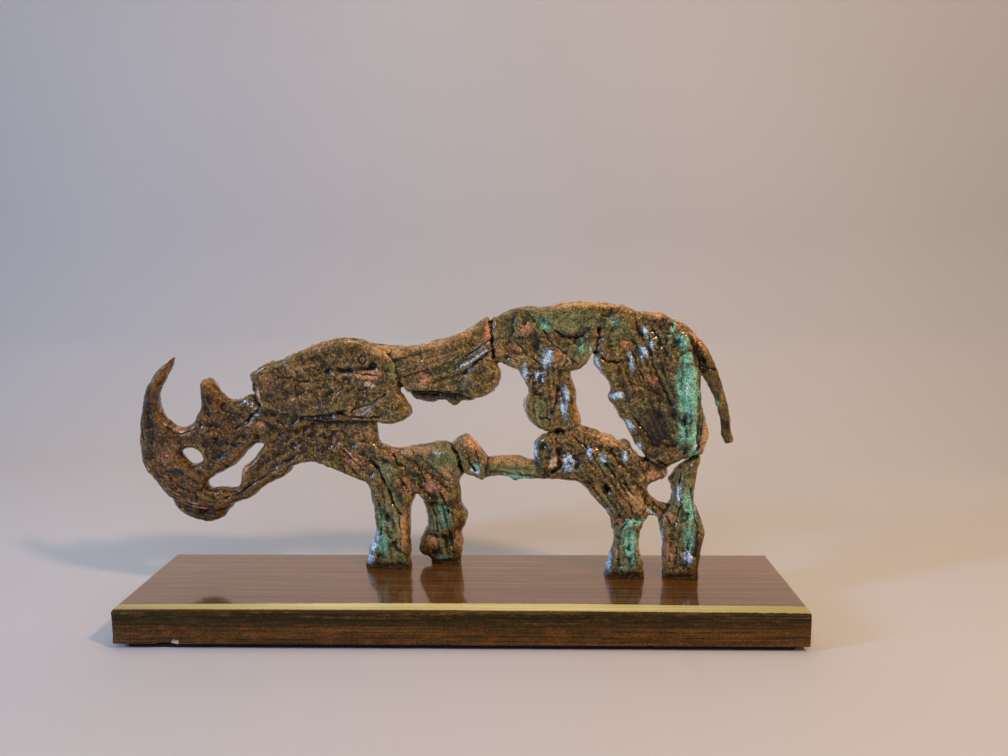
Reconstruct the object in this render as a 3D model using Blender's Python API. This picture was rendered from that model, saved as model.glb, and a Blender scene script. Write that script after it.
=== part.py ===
"""Cast bronze rhinoceros built from pressed slabs, standing on a stained wooden plank.

The figure is a single casting. Its wax model was pressed together from flat pads, so it is built
here the same way: each pad is an outline with a thickness and a rolled rim, and all pads are then
fused into one body. Lengths are in millimetres until the meshes are made.
"""
import math

import bmesh
import bpy
import numpy as np
from mathutils import Vector, noise
from mathutils.geometry import delaunay_2d_cdt

MM = 0.001

# Base: a dressed board with a felt sheet under it
PLANK_LENGTH = 381.0
PLANK_WIDTH = 89.0
PLANK_THICK = 19.0
PLANK_EASE = 1.2
EASE_STEPS = 3
WORN_WIDTH = 8.0
WORN_DROP = 0.8
FELT_THICK = 2.7
FELT_END_INSET = 7.5
FELT_SIDE_INSET = 2.0
FELT_CORNER = 3.0
CORNER_STEPS = 5
TOUCH_GAP = 0.3

# Figure: drawn in millimetres with the soles at the drawn height, then brought to this length
FIGURE_LENGTH = 363.0
DRAWN_SOLE = 22.3

# The slab's middle surface bows away from the front towards the head
BOW_START = 110.0
BOW_DEPTH = 10.5
BOW_LEAN = 0.13
BOW_CURVE = 0.000164

# How finely the figure is meshed; shorter lengths than the last one count as none
CURVE_STEPS = 6
PAD_PITCH = 2.4
FUSE_VOXEL = 1.3
SMOOTH_ROUNDS = 3
SMOOTH_SHARE = 0.5
FIGURE_FACES = 9200
SLIVER = 0.05
NO_LENGTH = 1e-4

NOSTRIL = [(-178.5, 92.6), (-174.7, 95.2), (-169, 95), (-165, 91), (-166.3, 87.5), (-171.5, 85.6),
           (-175.3, 88)]
MOUTH = [(-124, 97), (-127, 98.8), (-131, 98.2), (-137.6, 92.4), (-145.6, 84.3), (-156, 79),
         (-161, 75.5), (-162.5, 71.8), (-160, 70.4), (-153, 71), (-145, 70.4), (-142, 73),
         (-141.3, 78), (-139.5, 84), (-134, 88), (-130.4, 93), (-126.5, 95.2)]

# Each pad: thickness, rim roll, how far it stands forward, lean (forward per mm of x and of z),
# outline as x and z, and holes
PADS = {
    "head": dict(thick=13, roll=6, proud=0, outline=[
        (-180.3, 153.6), (-190, 145.8), (-197, 137), (-201, 126), (-203.8, 114), (-205, 100),
        (-204, 88), (-200, 79.5), (-193, 69.5), (-187, 63.5), (-178, 59), (-166, 56), (-156, 56),
        (-146, 60), (-135, 64.5), (-125, 72), (-112, 79), (-104, 92), (-104, 110), (-112, 124),
        (-124, 130), (-134, 130), (-140, 126.4), (-147, 127), (-151.5, 132.5), (-155, 138),
        (-159.6, 140), (-163.3, 138), (-163.6, 130), (-165, 121), (-169, 113.5), (-174, 109.5),
        (-179, 109), (-184.5, 112), (-189, 117), (-191, 125), (-189.5, 133), (-184.5, 141.5),
        (-180.4, 149)], holes=[NOSTRIL, MOUTH]),
    "chin": dict(thick=11, roll=6, proud=-1.5, outline=[
        (-187, 64), (-186, 58), (-180, 52.5), (-172, 49), (-164, 47.5), (-156, 50), (-151, 55),
        (-147, 61), (-158, 66), (-172, 69), (-182, 69)]),
    "second_horn": dict(thick=13, roll=6, proud=0.8, outline=[
        (-168, 114), (-164.5, 122), (-163.4, 131), (-163.4, 137.5), (-159.6, 140), (-155, 137.6),
        (-151.5, 131), (-149, 122), (-153, 112), (-161, 109)]),
    "neck": dict(thick=14, roll=4.5, proud=2, outline=[
        (-131.5, 143), (-128.5, 145), (-124, 148.5), (-118, 151), (-110, 152.5), (-99, 158),
        (-88, 162.2), (-78, 164.6), (-68, 165.2), (-56, 162.5), (-46, 158), (-40, 150),
        (-38, 138), (-38, 126), (-46, 116), (-58, 113.5), (-70, 114), (-80, 113), (-88, 113),
        (-98, 115), (-108, 116.5), (-118, 119.5), (-127, 124.5), (-129.8, 132)]),
    "neck_lobe": dict(thick=12, roll=5, proud=3, outline=[
        (-72, 141), (-60, 142.5), (-50, 141.5), (-42, 137), (-36, 131), (-33, 125.5),
        (-31, 119.5), (-36, 115.6), (-43, 113), (-54, 113.3), (-66, 115), (-75, 122),
        (-77, 133)]),
    "chest": dict(thick=13, roll=5, proud=0, outline=[
        (-126, 98), (-118, 104), (-112, 112), (-104, 120), (-80, 122), (-60, 120), (-54.3, 113),
        (-53.3, 108), (-52.2, 102), (-50, 97), (-48, 88), (-54, 80), (-60, 76), (-65, 76.5),
        (-71, 78.6), (-76, 81), (-81, 83.2), (-86, 84.8), (-91, 86.3), (-96, 87),
        (-101.5, 86.8), (-106, 85.2), (-112, 81.5), (-120, 77), (-128, 73), (-134, 84)]),
    "shoulder": dict(thick=12, roll=4.5, proud=1, outline=[
        (-66, 163), (-56, 162.5), (-44, 161), (-32, 160.8), (-20, 163), (-9, 165.5), (1, 170),
        (9, 174.5), (15.3, 177.6), (17.4, 170), (18, 160), (20, 152), (23, 146), (22.5, 140),
        (19, 134.5), (13, 130.4), (5, 130), (-5, 131), (-15, 132), (-25, 132), (-34, 132),
        (-39, 138), (-44, 145), (-54, 149), (-64, 153)]),
    "shoulder_under": dict(thick=9, roll=4, proud=-2.5, outline=[
        (-34, 134), (-31, 128), (-26, 126.2), (-20, 125), (-14.5, 126.8), (-11, 126.5),
        (-8, 124), (-4, 124), (-0.5, 126.8), (5, 126.8), (9, 129), (14, 130), (19, 134.5),
        (5, 142), (-15, 142), (-28, 141)]),
    "shoulder_lobe": dict(thick=11, roll=4.5, proud=2.6, outline=[
        (0, 143), (6, 150), (12, 155), (17, 157), (20, 152), (23, 146), (22.5, 140),
        (19, 134.5), (13, 130), (6, 129.4), (0, 131), (-3, 137)]),
    "back": dict(thick=13, roll=5, proud=0.5, outline=[
        (17.5, 176.5), (21, 179), (25, 181), (30, 183), (36, 184), (45, 184), (52, 184.5),
        (60, 186.3), (67, 187), (75, 187), (84, 186.5), (92, 185.3), (99, 183.2), (104, 181.6),
        (112, 181), (117, 179.6), (123, 176), (129.5, 171.5), (136, 166), (134, 156),
        (118, 150), (100, 149), (88, 151.5), (79, 157), (76.5, 156), (74.5, 151), (70.5, 147.3),
        (64, 145.8), (57, 146), (50, 147.5), (42, 147), (34, 146.5), (28, 147.5), (22.5, 149.8),
        (17.5, 153), (17, 165)]),
    "saddle": dict(thick=10, roll=5, proud=2.4, outline=[
        (44, 179), (51, 173), (57, 168.5), (64, 166), (72, 167.5), (78, 172), (82, 178),
        (80, 184), (70, 185.5), (58, 184.5), (48, 182.5)]),
    "back_end": dict(thick=11, roll=5, proud=2.4, outline=[
        (80, 157), (86, 152.5), (94, 152), (100, 156), (103, 165), (102, 175), (98, 181),
        (88, 182), (82, 176), (80, 166)]),
    "rib": dict(thick=12, roll=5, proud=0.6, outline=[
        (32.5, 152), (33.6, 145), (36.4, 138.5), (38.8, 133.5), (36.8, 130), (35.9, 125.6),
        (36.7, 121), (39.3, 116.2), (42.7, 112.8), (46, 110.6), (50, 109.6), (55, 110),
        (59, 112.5), (59, 122), (58, 134), (58, 150), (50, 156), (40, 156)]),
    "rib_strip": dict(thick=11, roll=5, proud=-1, outline=[
        (57, 153), (63.3, 148), (65, 141), (66.9, 135), (67.7, 128), (68.7, 122.5),
        (70.4, 118), (70.4, 115), (68, 110), (66, 102), (60, 98), (57, 103), (58, 112),
        (57, 125), (56, 140)]),
    "haunch": dict(thick=14, roll=5.5, proud=1, outline=[
        (78.5, 158), (84, 160), (96, 166), (112, 172), (124, 173), (133, 167), (137.5, 158),
        (138.5, 149), (138.5, 140), (139, 132), (140, 124.5), (141.8, 119), (143.6, 113),
        (143.3, 107), (142, 102), (140, 98), (135, 96.5), (131, 95), (125, 92), (120, 88.8),
        (115.5, 89.5), (110.5, 92.8), (106.6, 97), (102.6, 101.6), (99.6, 107.5), (96, 114),
        (92, 119), (89.5, 124.5), (86, 129), (86, 132.5), (87.5, 135.5), (84, 142),
        (80, 146.5), (77, 151.5)]),
    "haunch_ridge": dict(thick=13, roll=5, proud=3, outline=[
        (124, 166), (129, 169), (133, 163), (136, 150), (136.5, 138), (137, 125), (137, 112),
        (136, 101), (131, 97), (127, 104), (125.5, 120), (125, 136), (124.5, 152)]),
    "rear": dict(thick=14, roll=6, proud=0, outline=[
        (50, 108.3), (58, 110.5), (63, 113), (68, 114), (73.6, 112.6), (79.5, 110.4),
        (85, 108.7), (88.6, 107), (91.5, 104.4), (94, 105.3), (96.3, 105.6), (98.8, 103.8),
        (101.4, 99.8), (105.4, 95.4), (110, 94), (118, 92), (121.3, 86.5), (119, 82.2),
        (112.5, 79.8), (109.6, 76), (108, 70), (112, 63), (110.5, 59.6), (106.5, 54.5),
        (100, 50), (90, 49.5), (88, 56.4), (85, 61.8), (80.9, 65.8), (76.8, 69.7), (74, 73.5),
        (70, 76.8), (66, 79), (58, 79.8), (51, 81.5), (46, 85.5), (43, 91), (42, 97),
        (42.8, 103), (46, 106.8)]),
    "knob": dict(thick=12, roll=6, proud=2.4, outline=[
        (50, 108.3), (46, 106.8), (42.8, 103), (42, 97), (43.3, 91), (48, 85.5), (54, 84.5),
        (58, 89), (58.5, 97), (56.5, 106)]),
    "thigh": dict(thick=11, roll=5.5, proud=2.8, outline=[
        (70, 99), (79, 103), (89, 98), (97, 90), (104, 82), (107, 72), (108, 63), (104, 56),
        (96, 54.5), (90, 57), (85, 66), (78, 74), (71, 82), (67, 91)]),
    "belly_bar": dict(thick=11, roll=6, proud=0, outline=[
        (8, 90), (15, 92.8), (21.7, 93.7), (28, 94.2), (35, 93.6), (40, 92.3), (46, 90.8),
        (54, 88), (60, 84), (58, 80), (50, 79.8), (42, 79.6), (36, 79.4), (31, 78.8),
        (26, 80.4), (21, 81), (15, 80.4), (9, 79)]),
    "knuckle": dict(thick=15, roll=6, proud=2, outline=[
        (-8, 100.5), (-5.2, 104.2), (-1.8, 106), (2, 106.9), (5, 105.6), (8, 102.3),
        (11, 98.4), (14, 94), (15.2, 91), (14, 87), (13, 80.5), (10.5, 78.3), (6.5, 80),
        (2, 81.7), (-1, 84), (-3, 90), (-5, 96)]),
    "fore": dict(thick=14, roll=5.5, proud=0.5, outline=[
        (-66, 103), (-56, 103), (-52, 100), (-48.5, 99), (-43.5, 97.7), (-38.5, 97.4),
        (-34, 98.5), (-29, 100), (-23, 100), (-19, 101), (-14, 102), (-9.5, 101.6), (-4, 99),
        (-0.5, 92), (0, 82.5), (-2.5, 78), (-3.5, 72), (-4.5, 66), (-12, 62), (-20, 63),
        (-26, 65.5), (-29.7, 69), (-33, 65.5), (-42, 62), (-52, 62), (-58, 68), (-60, 74),
        (-64, 78), (-70, 84), (-72, 95)]),
    "green_pad": dict(thick=8, roll=4, proud=4.6, outline=[
        (-54, 84), (-52, 89), (-46, 90), (-41, 87), (-39.5, 81), (-44, 78), (-50, 78)]),
    "front_leg": dict(thick=15, roll=7, proud=1.5, outline=[
        (-61.5, 80), (-59.5, 72), (-58, 64), (-57, 54), (-56, 46), (-57.2, 40), (-60.5, 35),
        (-62.3, 28), (-62.3, 20), (-58, 15), (-48, 14), (-38, 15), (-34.3, 20), (-34, 30),
        (-34.3, 42), (-34, 52), (-32.8, 61), (-30.5, 67.5), (-31, 76), (-40, 84), (-52, 85)]),
    "second_leg": dict(thick=14, roll=7, proud=-5, lean=(0, 0.13), outline=[
        (-31, 80), (-28.5, 67.5), (-25.6, 62), (-24.7, 54), (-25, 46), (-27.3, 41),
        (-29.8, 34.5), (-29.9, 30), (-28, 27), (-23.5, 25), (-22, 18), (-18, 14), (-8, 14),
        (-4.5, 19), (-3.2, 28), (-2, 34), (-2, 43), (0.3, 49), (1.4, 54), (0.3, 59), (-3, 65),
        (-3, 76), (-8, 84), (-20, 88)]),
    "third_leg": dict(thick=14, roll=6.5, proud=2.5, outline=[
        (90, 54), (95, 60), (101, 61), (107, 57), (105.5, 50), (104.8, 45), (105.3, 39),
        (107, 34), (107.8, 28), (108.3, 20), (104, 14), (96, 13.5), (88, 14), (84.2, 20),
        (85.8, 29), (87.4, 36), (89, 41), (89.6, 46)]),
    "fourth_leg": dict(thick=14, roll=6.5, proud=-0.5, outline=[
        (134, 95.5), (139.5, 96.8), (138.4, 89), (137.1, 81), (136.7, 73), (138, 67),
        (140, 61), (142.2, 55), (143, 50), (142.3, 44), (141, 38), (140, 31), (140.4, 20),
        (136, 14), (128, 13.5), (122, 15), (119.5, 21), (118.6, 32), (118.2, 40), (118.1, 47),
        (117, 53), (116, 57), (118, 62), (121.4, 67), (123.2, 70.5), (123.6, 75),
        (122.4, 79), (121.2, 82), (123.6, 85.4), (125.2, 88.6), (129, 91.8)]),
    "hock_link": dict(thick=9, roll=4, proud=-1.5, outline=[
        (106, 78), (109.6, 75), (112, 71), (116, 68), (121, 66.8), (125, 62), (123, 55.5),
        (118, 56.5), (114, 58.8), (110, 59.6), (104, 64), (103, 72)]),
}

# The tail strip: x, z and radius from the rump to its tip
TAIL = [(112, 177, 3.4), (122, 173.4, 4), (131, 166.6, 4.5), (138.5, 157.5, 4.8),
        (143.6, 146, 4.6), (147, 138, 3.9), (149.4, 132, 3.3), (151.1, 126, 3.1),
        (152.3, 120, 3.1), (153.4, 113, 3.2), (154.8, 107.5, 2.9), (155.6, 105, 2.4)]
TAIL_SIDES = 16

# Creases and cracks pressed into the front: half width, depth and line as x and z
CREASES = {
    "head_seam": dict(width=1.6, depth=2.6, line=[
        (-128.5, 137), (-127.6, 127), (-125.5, 124), (-127.6, 120), (-132.8, 115.6),
        (-136.6, 112), (-141, 109.5)]),
    "head_seam_branch": dict(width=1.4, depth=1.6, line=[
        (-125, 124), (-122.6, 120.6), (-115, 118.2)]),
    "neck_hollow": dict(width=3.2, depth=1.8, line=[(-82, 146), (-72, 145.5), (-62, 147), (-53, 148)]),
    "shoulder_crack": dict(width=1.1, depth=4.5, line=[
        (16.8, 178), (17.2, 172), (17.6, 166), (17.8, 160), (18.8, 154)]),
    "shoulder_seam": dict(width=1.3, depth=2.2, line=[(0, 144), (5, 148.5), (11, 153.5), (17, 158)]),
    "shoulder_lip": dict(width=2.0, depth=3.0, line=[
        (-34, 133.8), (-25, 131.2), (-18, 131.2), (-11, 132.3), (-4, 132.7), (2, 133.8)]),
    "saddle_fold": dict(width=1.7, depth=2.2, line=[
        (55, 169.5), (58, 167.3), (63, 166.2), (68, 166.8), (71, 168.2)]),
    "back_crack": dict(width=1.4, depth=4.0, line=[
        (80, 171), (79.6, 166), (78.6, 161), (78.4, 157)]),
    "haunch_fold": dict(width=1.6, depth=2.8, line=[
        (79.5, 156.8), (82, 154.2), (85.2, 152.2), (89.6, 152), (93, 153)]),
    "tail_fold": dict(width=1.5, depth=2.2, line=[(137.5, 149.4), (142, 148.6), (146, 148.3)]),
    "rump_hollow": dict(width=3.6, depth=2.6, line=[(132, 163), (136, 157.5), (139, 153)]),
    "rib_seam": dict(width=1.4, depth=2.4, line=[(56.4, 137), (56, 130), (54.6, 125), (53.4, 122)]),
    "rib_fold": dict(width=1.3, depth=1.6, line=[(46.6, 118.4), (51.6, 117.6)]),
    "rib_hollow": dict(width=2.6, depth=2.4, line=[(43, 133.4), (46.4, 132.4)]),
    "knob_seam": dict(width=1.7, depth=2.8, line=[
        (56.4, 99), (57, 96.5), (57.5, 92), (57, 88), (53, 85)]),
    "knuckle_crack": dict(width=1.2, depth=4.6, line=[
        (-7.4, 100.6), (-4.4, 96.6), (-2.6, 92), (-2.7, 88), (-0.5, 84.4), (0.8, 81.8)]),
    "knuckle_fold": dict(width=1.3, depth=2.2, line=[(2.4, 97), (3.6, 91), (6.6, 86)]),
    "belly_lip": dict(width=1.2, depth=1.4, line=[(16, 84.4), (24, 84.2), (31, 82.4), (42, 82.6)]),
    "foreleg_crease": dict(width=1.7, depth=3.6, line=[
        (-58, 91), (-52.5, 85.2), (-48.5, 76.5), (-45.8, 71.5), (-44, 64.5), (-39.4, 57)]),
    "elbow_crease": dict(width=1.4, depth=2.6, line=[(-40, 81), (-38.7, 79), (-36, 75.3), (-34, 71.7)]),
    "armpit_crease": dict(width=1.2, depth=2.0, line=[(-26.5, 74.5), (-24.4, 72.3), (-20.5, 68.5)]),
    "second_leg_crease": dict(width=1.6, depth=3.0, line=[
        (-17, 76), (-15.7, 72.8), (-13.6, 69.3), (-11, 62.3), (-10, 58)]),
    "thigh_pit": dict(width=2.6, depth=3.2, line=[(84, 78), (86.4, 74.6)]),
    "thigh_groove": dict(width=1.5, depth=2.0, line=[(94.8, 80.3), (97.3, 77), (100.7, 73)]),
    "shin_joint": dict(width=1.4, depth=2.4, line=[
        (92, 47), (92.8, 51.6), (95.6, 55.4), (98.5, 56.8), (102, 57)]),
}

# Lumps thumbed onto the front: x, z, radius and height
LUMPS = {
    "cheek": (-129, 111.5, 6.0, 1.6),
    "brow": (-158.5, 106, 4.0, 1.4),
    "neck_button": (-103.5, 127, 4.2, 1.3),
    "elbow": (-0.5, 54, 5.0, 1.6),
    "toe": (-25.5, 33, 5.0, 1.5),
    "hoof": (134, 34, 5.0, 1.2),
}

# Uneven thumbing of the wax all over
PRESS_SIZE = 11.0
PRESS_HEIGHT = 0.55

MATERIALS = {
    "patinated_bronze": dict(colour=(0.085, 0.06, 0.03), roughness=0.35, metallic=0.6),
    "stained_pine": dict(colour=(0.12, 0.055, 0.022), roughness=0.25, metallic=0.0),
    "black_felt": dict(colour=(0.006, 0.006, 0.006), roughness=0.95, metallic=0.0),
}


def clear_scene():
    """Start from an empty scene."""
    for item in list(bpy.data.objects):
        bpy.data.objects.remove(item, do_unlink=True)


def make_material(name):
    """A plain material with the finish's colour, roughness and metallic value."""
    values = MATERIALS[name]
    material = bpy.data.materials.new(name)
    material.use_nodes = True
    shader = material.node_tree.nodes["Principled BSDF"]
    shader.inputs["Base Color"].default_value = (*values["colour"], 1.0)
    shader.inputs["Roughness"].default_value = values["roughness"]
    shader.inputs["Metallic"].default_value = values["metallic"]
    return material


def make_object(name, body, material_name):
    """Turn a bmesh into a named object with its own material."""
    mesh = bpy.data.meshes.new(name)
    body.to_mesh(mesh)
    body.free()
    mesh.materials.append(make_material(material_name))
    item = bpy.data.objects.new(name, mesh)
    bpy.context.scene.collection.objects.link(item)
    return item


def drawn_length():
    """Length of the drawing, from the muzzle to the tip of the tail."""
    muzzle = min(x for pad in PADS.values() for x, z in pad["outline"])
    tip_x, tip_z, tip_radius = TAIL[-1]
    return tip_x + tip_radius - muzzle


def slab_depth(x):
    """Depth of the slab's middle surface at x."""
    reach = BOW_START - x
    return BOW_DEPTH + BOW_LEAN * reach - BOW_CURVE * reach * reach


def smooth_loop(points, steps=CURVE_STEPS):
    """A closed curve through the given points."""
    knots = np.array(points, float)
    before = np.roll(knots, 1, axis=0)
    after = np.roll(knots, -1, axis=0)
    beyond = np.roll(knots, -2, axis=0)
    curve = []
    for step in range(steps):
        t = step / steps
        curve.append(0.5 * (2 * knots + (after - before) * t
                            + (2 * before - 5 * knots + 4 * after - beyond) * t * t
                            + (3 * knots - before - 3 * after + beyond) * t ** 3))
    return np.stack(curve, axis=1).reshape(-1, 2)


def is_inside(spots, loops):
    """Which spots lie inside the loops, holes left out."""
    inside = np.zeros(len(spots), bool)
    for loop in loops:
        ends = np.roll(loop, -1, axis=0)
        for (ax, az), (bx, bz) in zip(loop, ends):
            crosses = (az > spots[:, 1]) != (bz > spots[:, 1])
            rise = bz - az if bz != az else 1.0
            at = ax + (spots[:, 1] - az) * (bx - ax) / rise
            inside ^= crosses & (spots[:, 0] < at)
    return inside


def run_distance(spots, start, end):
    """Distance from each spot to one straight run."""
    run = end - start
    share = np.clip((spots - start) @ run / max(run @ run, NO_LENGTH), 0, 1)
    return np.linalg.norm(spots - start - share[:, None] * run, axis=1)


def edge_distance(spots, loops):
    """Distance from each spot to the nearest loop."""
    nearest = np.full(len(spots), np.inf)
    for loop in loops:
        for start, end in zip(loop, np.roll(loop, -1, axis=0)):
            nearest = np.minimum(nearest, run_distance(spots, start, end))
    return nearest


def line_distance(spots, line):
    """Distance from each spot to an open line."""
    knots = np.array(line, float)
    nearest = np.full(len(spots), np.inf)
    for start, end in zip(knots, knots[1:]):
        nearest = np.minimum(nearest, run_distance(spots, start, end))
    return nearest


def pad_profile(gap, roll):
    """Share of the half thickness reached at a distance from the rim."""
    reach = np.clip(gap / roll, 0, 1)
    return np.sqrt(1 - (1 - reach) ** 2)


def add_pad(body, thick, roll, proud, outline, holes=(), lean=(0, 0), pitch=PAD_PITCH):
    """Add one closed pad to the body."""
    loops = [smooth_loop(points) for points in (outline, *holes)]
    low = loops[0].min(axis=0)
    high = loops[0].max(axis=0)
    columns = np.arange(low[0] + pitch / 2, high[0], pitch)
    rows = np.arange(low[1] + pitch / 2, high[1], pitch)
    grid = np.stack(np.meshgrid(columns, rows), axis=-1).reshape(-1, 2)
    grid = grid[is_inside(grid, loops)]
    gap = edge_distance(grid, loops)
    grid = grid[gap > pitch / 3]
    gap = gap[gap > pitch / 3]

    rims = np.concatenate(loops)
    edges = []
    for loop in loops:
        first = len(edges)
        count = len(loop)
        edges += [(first + i, first + (i + 1) % count) for i in range(count)]
    spots = np.concatenate([rims, grid])
    flat = delaunay_2d_cdt([Vector(spot) for spot in spots], edges, [], 0, NO_LENGTH)
    corners = np.array([tuple(corner) for corner in flat[0]])
    faces = np.array([face for face in flat[2] if len(face) == 3])
    faces = faces[is_inside(corners[faces].mean(axis=1), loops)]

    rise = np.zeros(len(corners))
    inner = edge_distance(corners, loops)
    off_rim = inner > NO_LENGTH
    rise[off_rim] = pad_profile(inner[off_rim], roll) * thick / 2
    middle = corners.mean(axis=0)
    forward = proud + (corners - middle) @ np.array(lean, float)
    depth = slab_depth(corners[:, 0]) - forward
    on_rim = rise == 0
    front = [body.verts.new((x, y, z)) for x, y, z
             in zip(corners[:, 0], depth - rise, corners[:, 1])]
    back = [front[i] if on_rim[i] else body.verts.new((corners[i, 0], depth[i] + rise[i],
                                                       corners[i, 1]))
            for i in range(len(corners))]
    for a, b, c in faces:
        body.faces.new((front[a], front[b], front[c]))
        if not (on_rim[a] and on_rim[b] and on_rim[c]):
            body.faces.new((back[c], back[b], back[a]))


def add_strip(body, knots, sides=TAIL_SIDES):
    """Add a round tapering strip along knots of x, z and radius."""
    line = [(Vector((x, slab_depth(x), z)), radius) for x, z, radius in knots]
    rings = []
    for place, (centre, radius) in enumerate(line):
        ahead = line[min(place + 1, len(line) - 1)][0] - line[max(place - 1, 0)][0]
        side = ahead.cross(Vector((0, 1, 0))).normalized()
        across = ahead.cross(side).normalized()
        turns = [2 * math.pi * i / sides for i in range(sides)]
        rings.append([body.verts.new(centre + radius * (math.cos(a) * side + math.sin(a) * across))
                      for a in turns])
    for ring, following in zip(rings, rings[1:]):
        for i in range(sides):
            j = (i + 1) % sides
            body.faces.new((ring[i], ring[j], following[j], following[i]))
    body.faces.new(list(reversed(rings[0])))
    body.faces.new(rings[-1])


def fuse(item, voxel, rounds):
    """Fuse the overlapping pads into one skin."""
    remesh = item.modifiers.new("fuse", "REMESH")
    remesh.mode = "VOXEL"
    remesh.voxel_size = voxel
    smooth = item.modifiers.new("soften", "SMOOTH")
    smooth.factor = SMOOTH_SHARE
    smooth.iterations = rounds
    bake(item)


def carve(item):
    """Press the creases, lumps and thumb marks into the skin."""
    mesh = item.data
    count = len(mesh.vertices)
    flat = np.empty(count * 3)
    mesh.vertices.foreach_get("co", flat)
    spots = flat.reshape(-1, 3).copy()
    mesh.vertices.foreach_get("normal", flat)
    outward = flat.reshape(-1, 3)
    facing = np.clip(-outward[:, 1], 0, 1)
    push = np.zeros(count)
    for crease in CREASES.values():
        gap = line_distance(spots[:, [0, 2]], crease["line"])
        push -= crease["depth"] * np.exp(-(gap / crease["width"]) ** 2) * facing
    for x, z, radius, height in LUMPS.values():
        gap = np.hypot(spots[:, 0] - x, spots[:, 2] - z)
        push += height * np.exp(-(gap / radius) ** 2) * facing
    push += [PRESS_HEIGHT * noise.noise(Vector(spot) / PRESS_SIZE) for spot in spots]
    spots += push[:, None] * outward
    mesh.vertices.foreach_set("co", spots.ravel())
    mesh.update()


def thin_out(item, faces):
    """Bring the skin down to the wanted face count."""
    triangles = sum(len(face.vertices) - 2 for face in item.data.polygons)
    decimate = item.modifiers.new("thin_out", "DECIMATE")
    decimate.ratio = faces / triangles
    decimate.use_collapse_triangulate = True
    bake(item)


def bake(item):
    """Replace the mesh with what its modifiers make of it."""
    seen = item.evaluated_get(bpy.context.evaluated_depsgraph_get())
    made = bpy.data.meshes.new_from_object(seen)
    item.modifiers.clear()
    item.data = made


def build_rhinoceros():
    """The whole casting, its soles cut flat where they meet the board."""
    sole = FELT_THICK + 2 * TOUCH_GAP + PLANK_THICK
    scale = FIGURE_LENGTH / drawn_length()
    body = bmesh.new()
    for pad in PADS.values():
        add_pad(body, **pad)
    add_strip(body, TAIL)
    bmesh.ops.recalc_face_normals(body, faces=body.faces)
    item = make_object("rhinoceros", body, "patinated_bronze")
    fuse(item, FUSE_VOXEL, SMOOTH_ROUNDS)
    carve(item)
    thin_out(item, FIGURE_FACES)

    skin = bmesh.new()
    skin.from_mesh(item.data)
    cut = bmesh.ops.bisect_plane(skin, geom=skin.verts[:] + skin.edges[:] + skin.faces[:],
                                 plane_co=(0, 0, DRAWN_SOLE), plane_no=(0, 0, 1),
                                 clear_inner=True)
    rim = [part for part in cut["geom_cut"] if isinstance(part, bmesh.types.BMEdge)]
    bmesh.ops.holes_fill(skin, edges=rim, sides=0)
    bmesh.ops.dissolve_degenerate(skin, dist=SLIVER, edges=skin.edges)
    bmesh.ops.triangulate(skin, faces=skin.faces)
    for vert in skin.verts:
        x, y, z = vert.co
        vert.co = Vector((x * scale, y * scale, (z - DRAWN_SOLE) * scale + sole)) * MM
    skin.to_mesh(item.data)
    skin.free()
    item.data.shade_smooth()
    return item


def build_plank():
    """The board, with a worn bevel along its front top edge and eased corners."""
    bottom = FELT_THICK + TOUCH_GAP
    top = bottom + PLANK_THICK
    half = PLANK_WIDTH / 2
    outline = [(-half, bottom), (half, bottom), (half, top), (-half + WORN_WIDTH, top),
               (-half, top - WORN_DROP)]
    body = bmesh.new()
    end = [body.verts.new((-PLANK_LENGTH / 2 * MM, y * MM, z * MM)) for y, z in outline]
    face = body.faces.new(end)
    pushed = bmesh.ops.extrude_face_region(body, geom=[face])
    far = [part for part in pushed["geom"] if isinstance(part, bmesh.types.BMVert)]
    bmesh.ops.translate(body, verts=far, vec=(PLANK_LENGTH * MM, 0, 0))
    bmesh.ops.recalc_face_normals(body, faces=body.faces)
    sharp = [edge for edge in body.edges if edge.calc_face_angle() > math.pi / 4]
    bmesh.ops.bevel(body, geom=sharp, offset=PLANK_EASE * MM, segments=EASE_STEPS, profile=0.5,
                    affect="EDGES")
    return make_object("base_plank", body, "stained_pine")


def build_felt():
    """The felt sheet glued under the board, a little smaller than it."""
    body = bmesh.new()
    bmesh.ops.create_cube(body, size=1.0)
    length = PLANK_LENGTH - 2 * FELT_END_INSET
    width = PLANK_WIDTH - 2 * FELT_SIDE_INSET
    bmesh.ops.scale(body, verts=body.verts, vec=(length * MM, width * MM, FELT_THICK * MM))
    bmesh.ops.translate(body, verts=body.verts, vec=(0, 0, FELT_THICK * MM / 2))
    upright = [edge for edge in body.edges
               if abs(edge.verts[0].co.z - edge.verts[1].co.z) > FELT_THICK * MM / 2]
    bmesh.ops.bevel(body, geom=upright, offset=FELT_CORNER * MM, segments=CORNER_STEPS, profile=0.5,
                    affect="EDGES")
    return make_object("felt_sheet", body, "black_felt")


def main():
    """Build the three pieces, from the table up."""
    clear_scene()
    build_felt()
    build_plank()
    build_rhinoceros()


main()
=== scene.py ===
# %% [markdown]
# # A bronze rhinoceros on a stained board
#
# The real piece is a small sculpture, about 36 cm long. The maker rolled and pressed flat slabs of
# wax, squeezed them together into the outline of a rhinoceros, left gaps where the light comes
# through, and had the whole thing cast in bronze. A chemical patina then turned the skin brown,
# ochre and blue-green, and a glossy clear lacquer went over it. It stands on a length of dressed
# softwood board, stained dark and varnished, with black felt glued underneath.
#
# The script loads the plain solids first. They give every size, and each piece made here goes
# exactly where its solid is.

# %% Load the plain solids
import math

import bmesh
import bpy
import numpy as np
from mathutils import Matrix, Vector, noise
from mathutils.geometry import delaunay_2d_cdt


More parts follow.
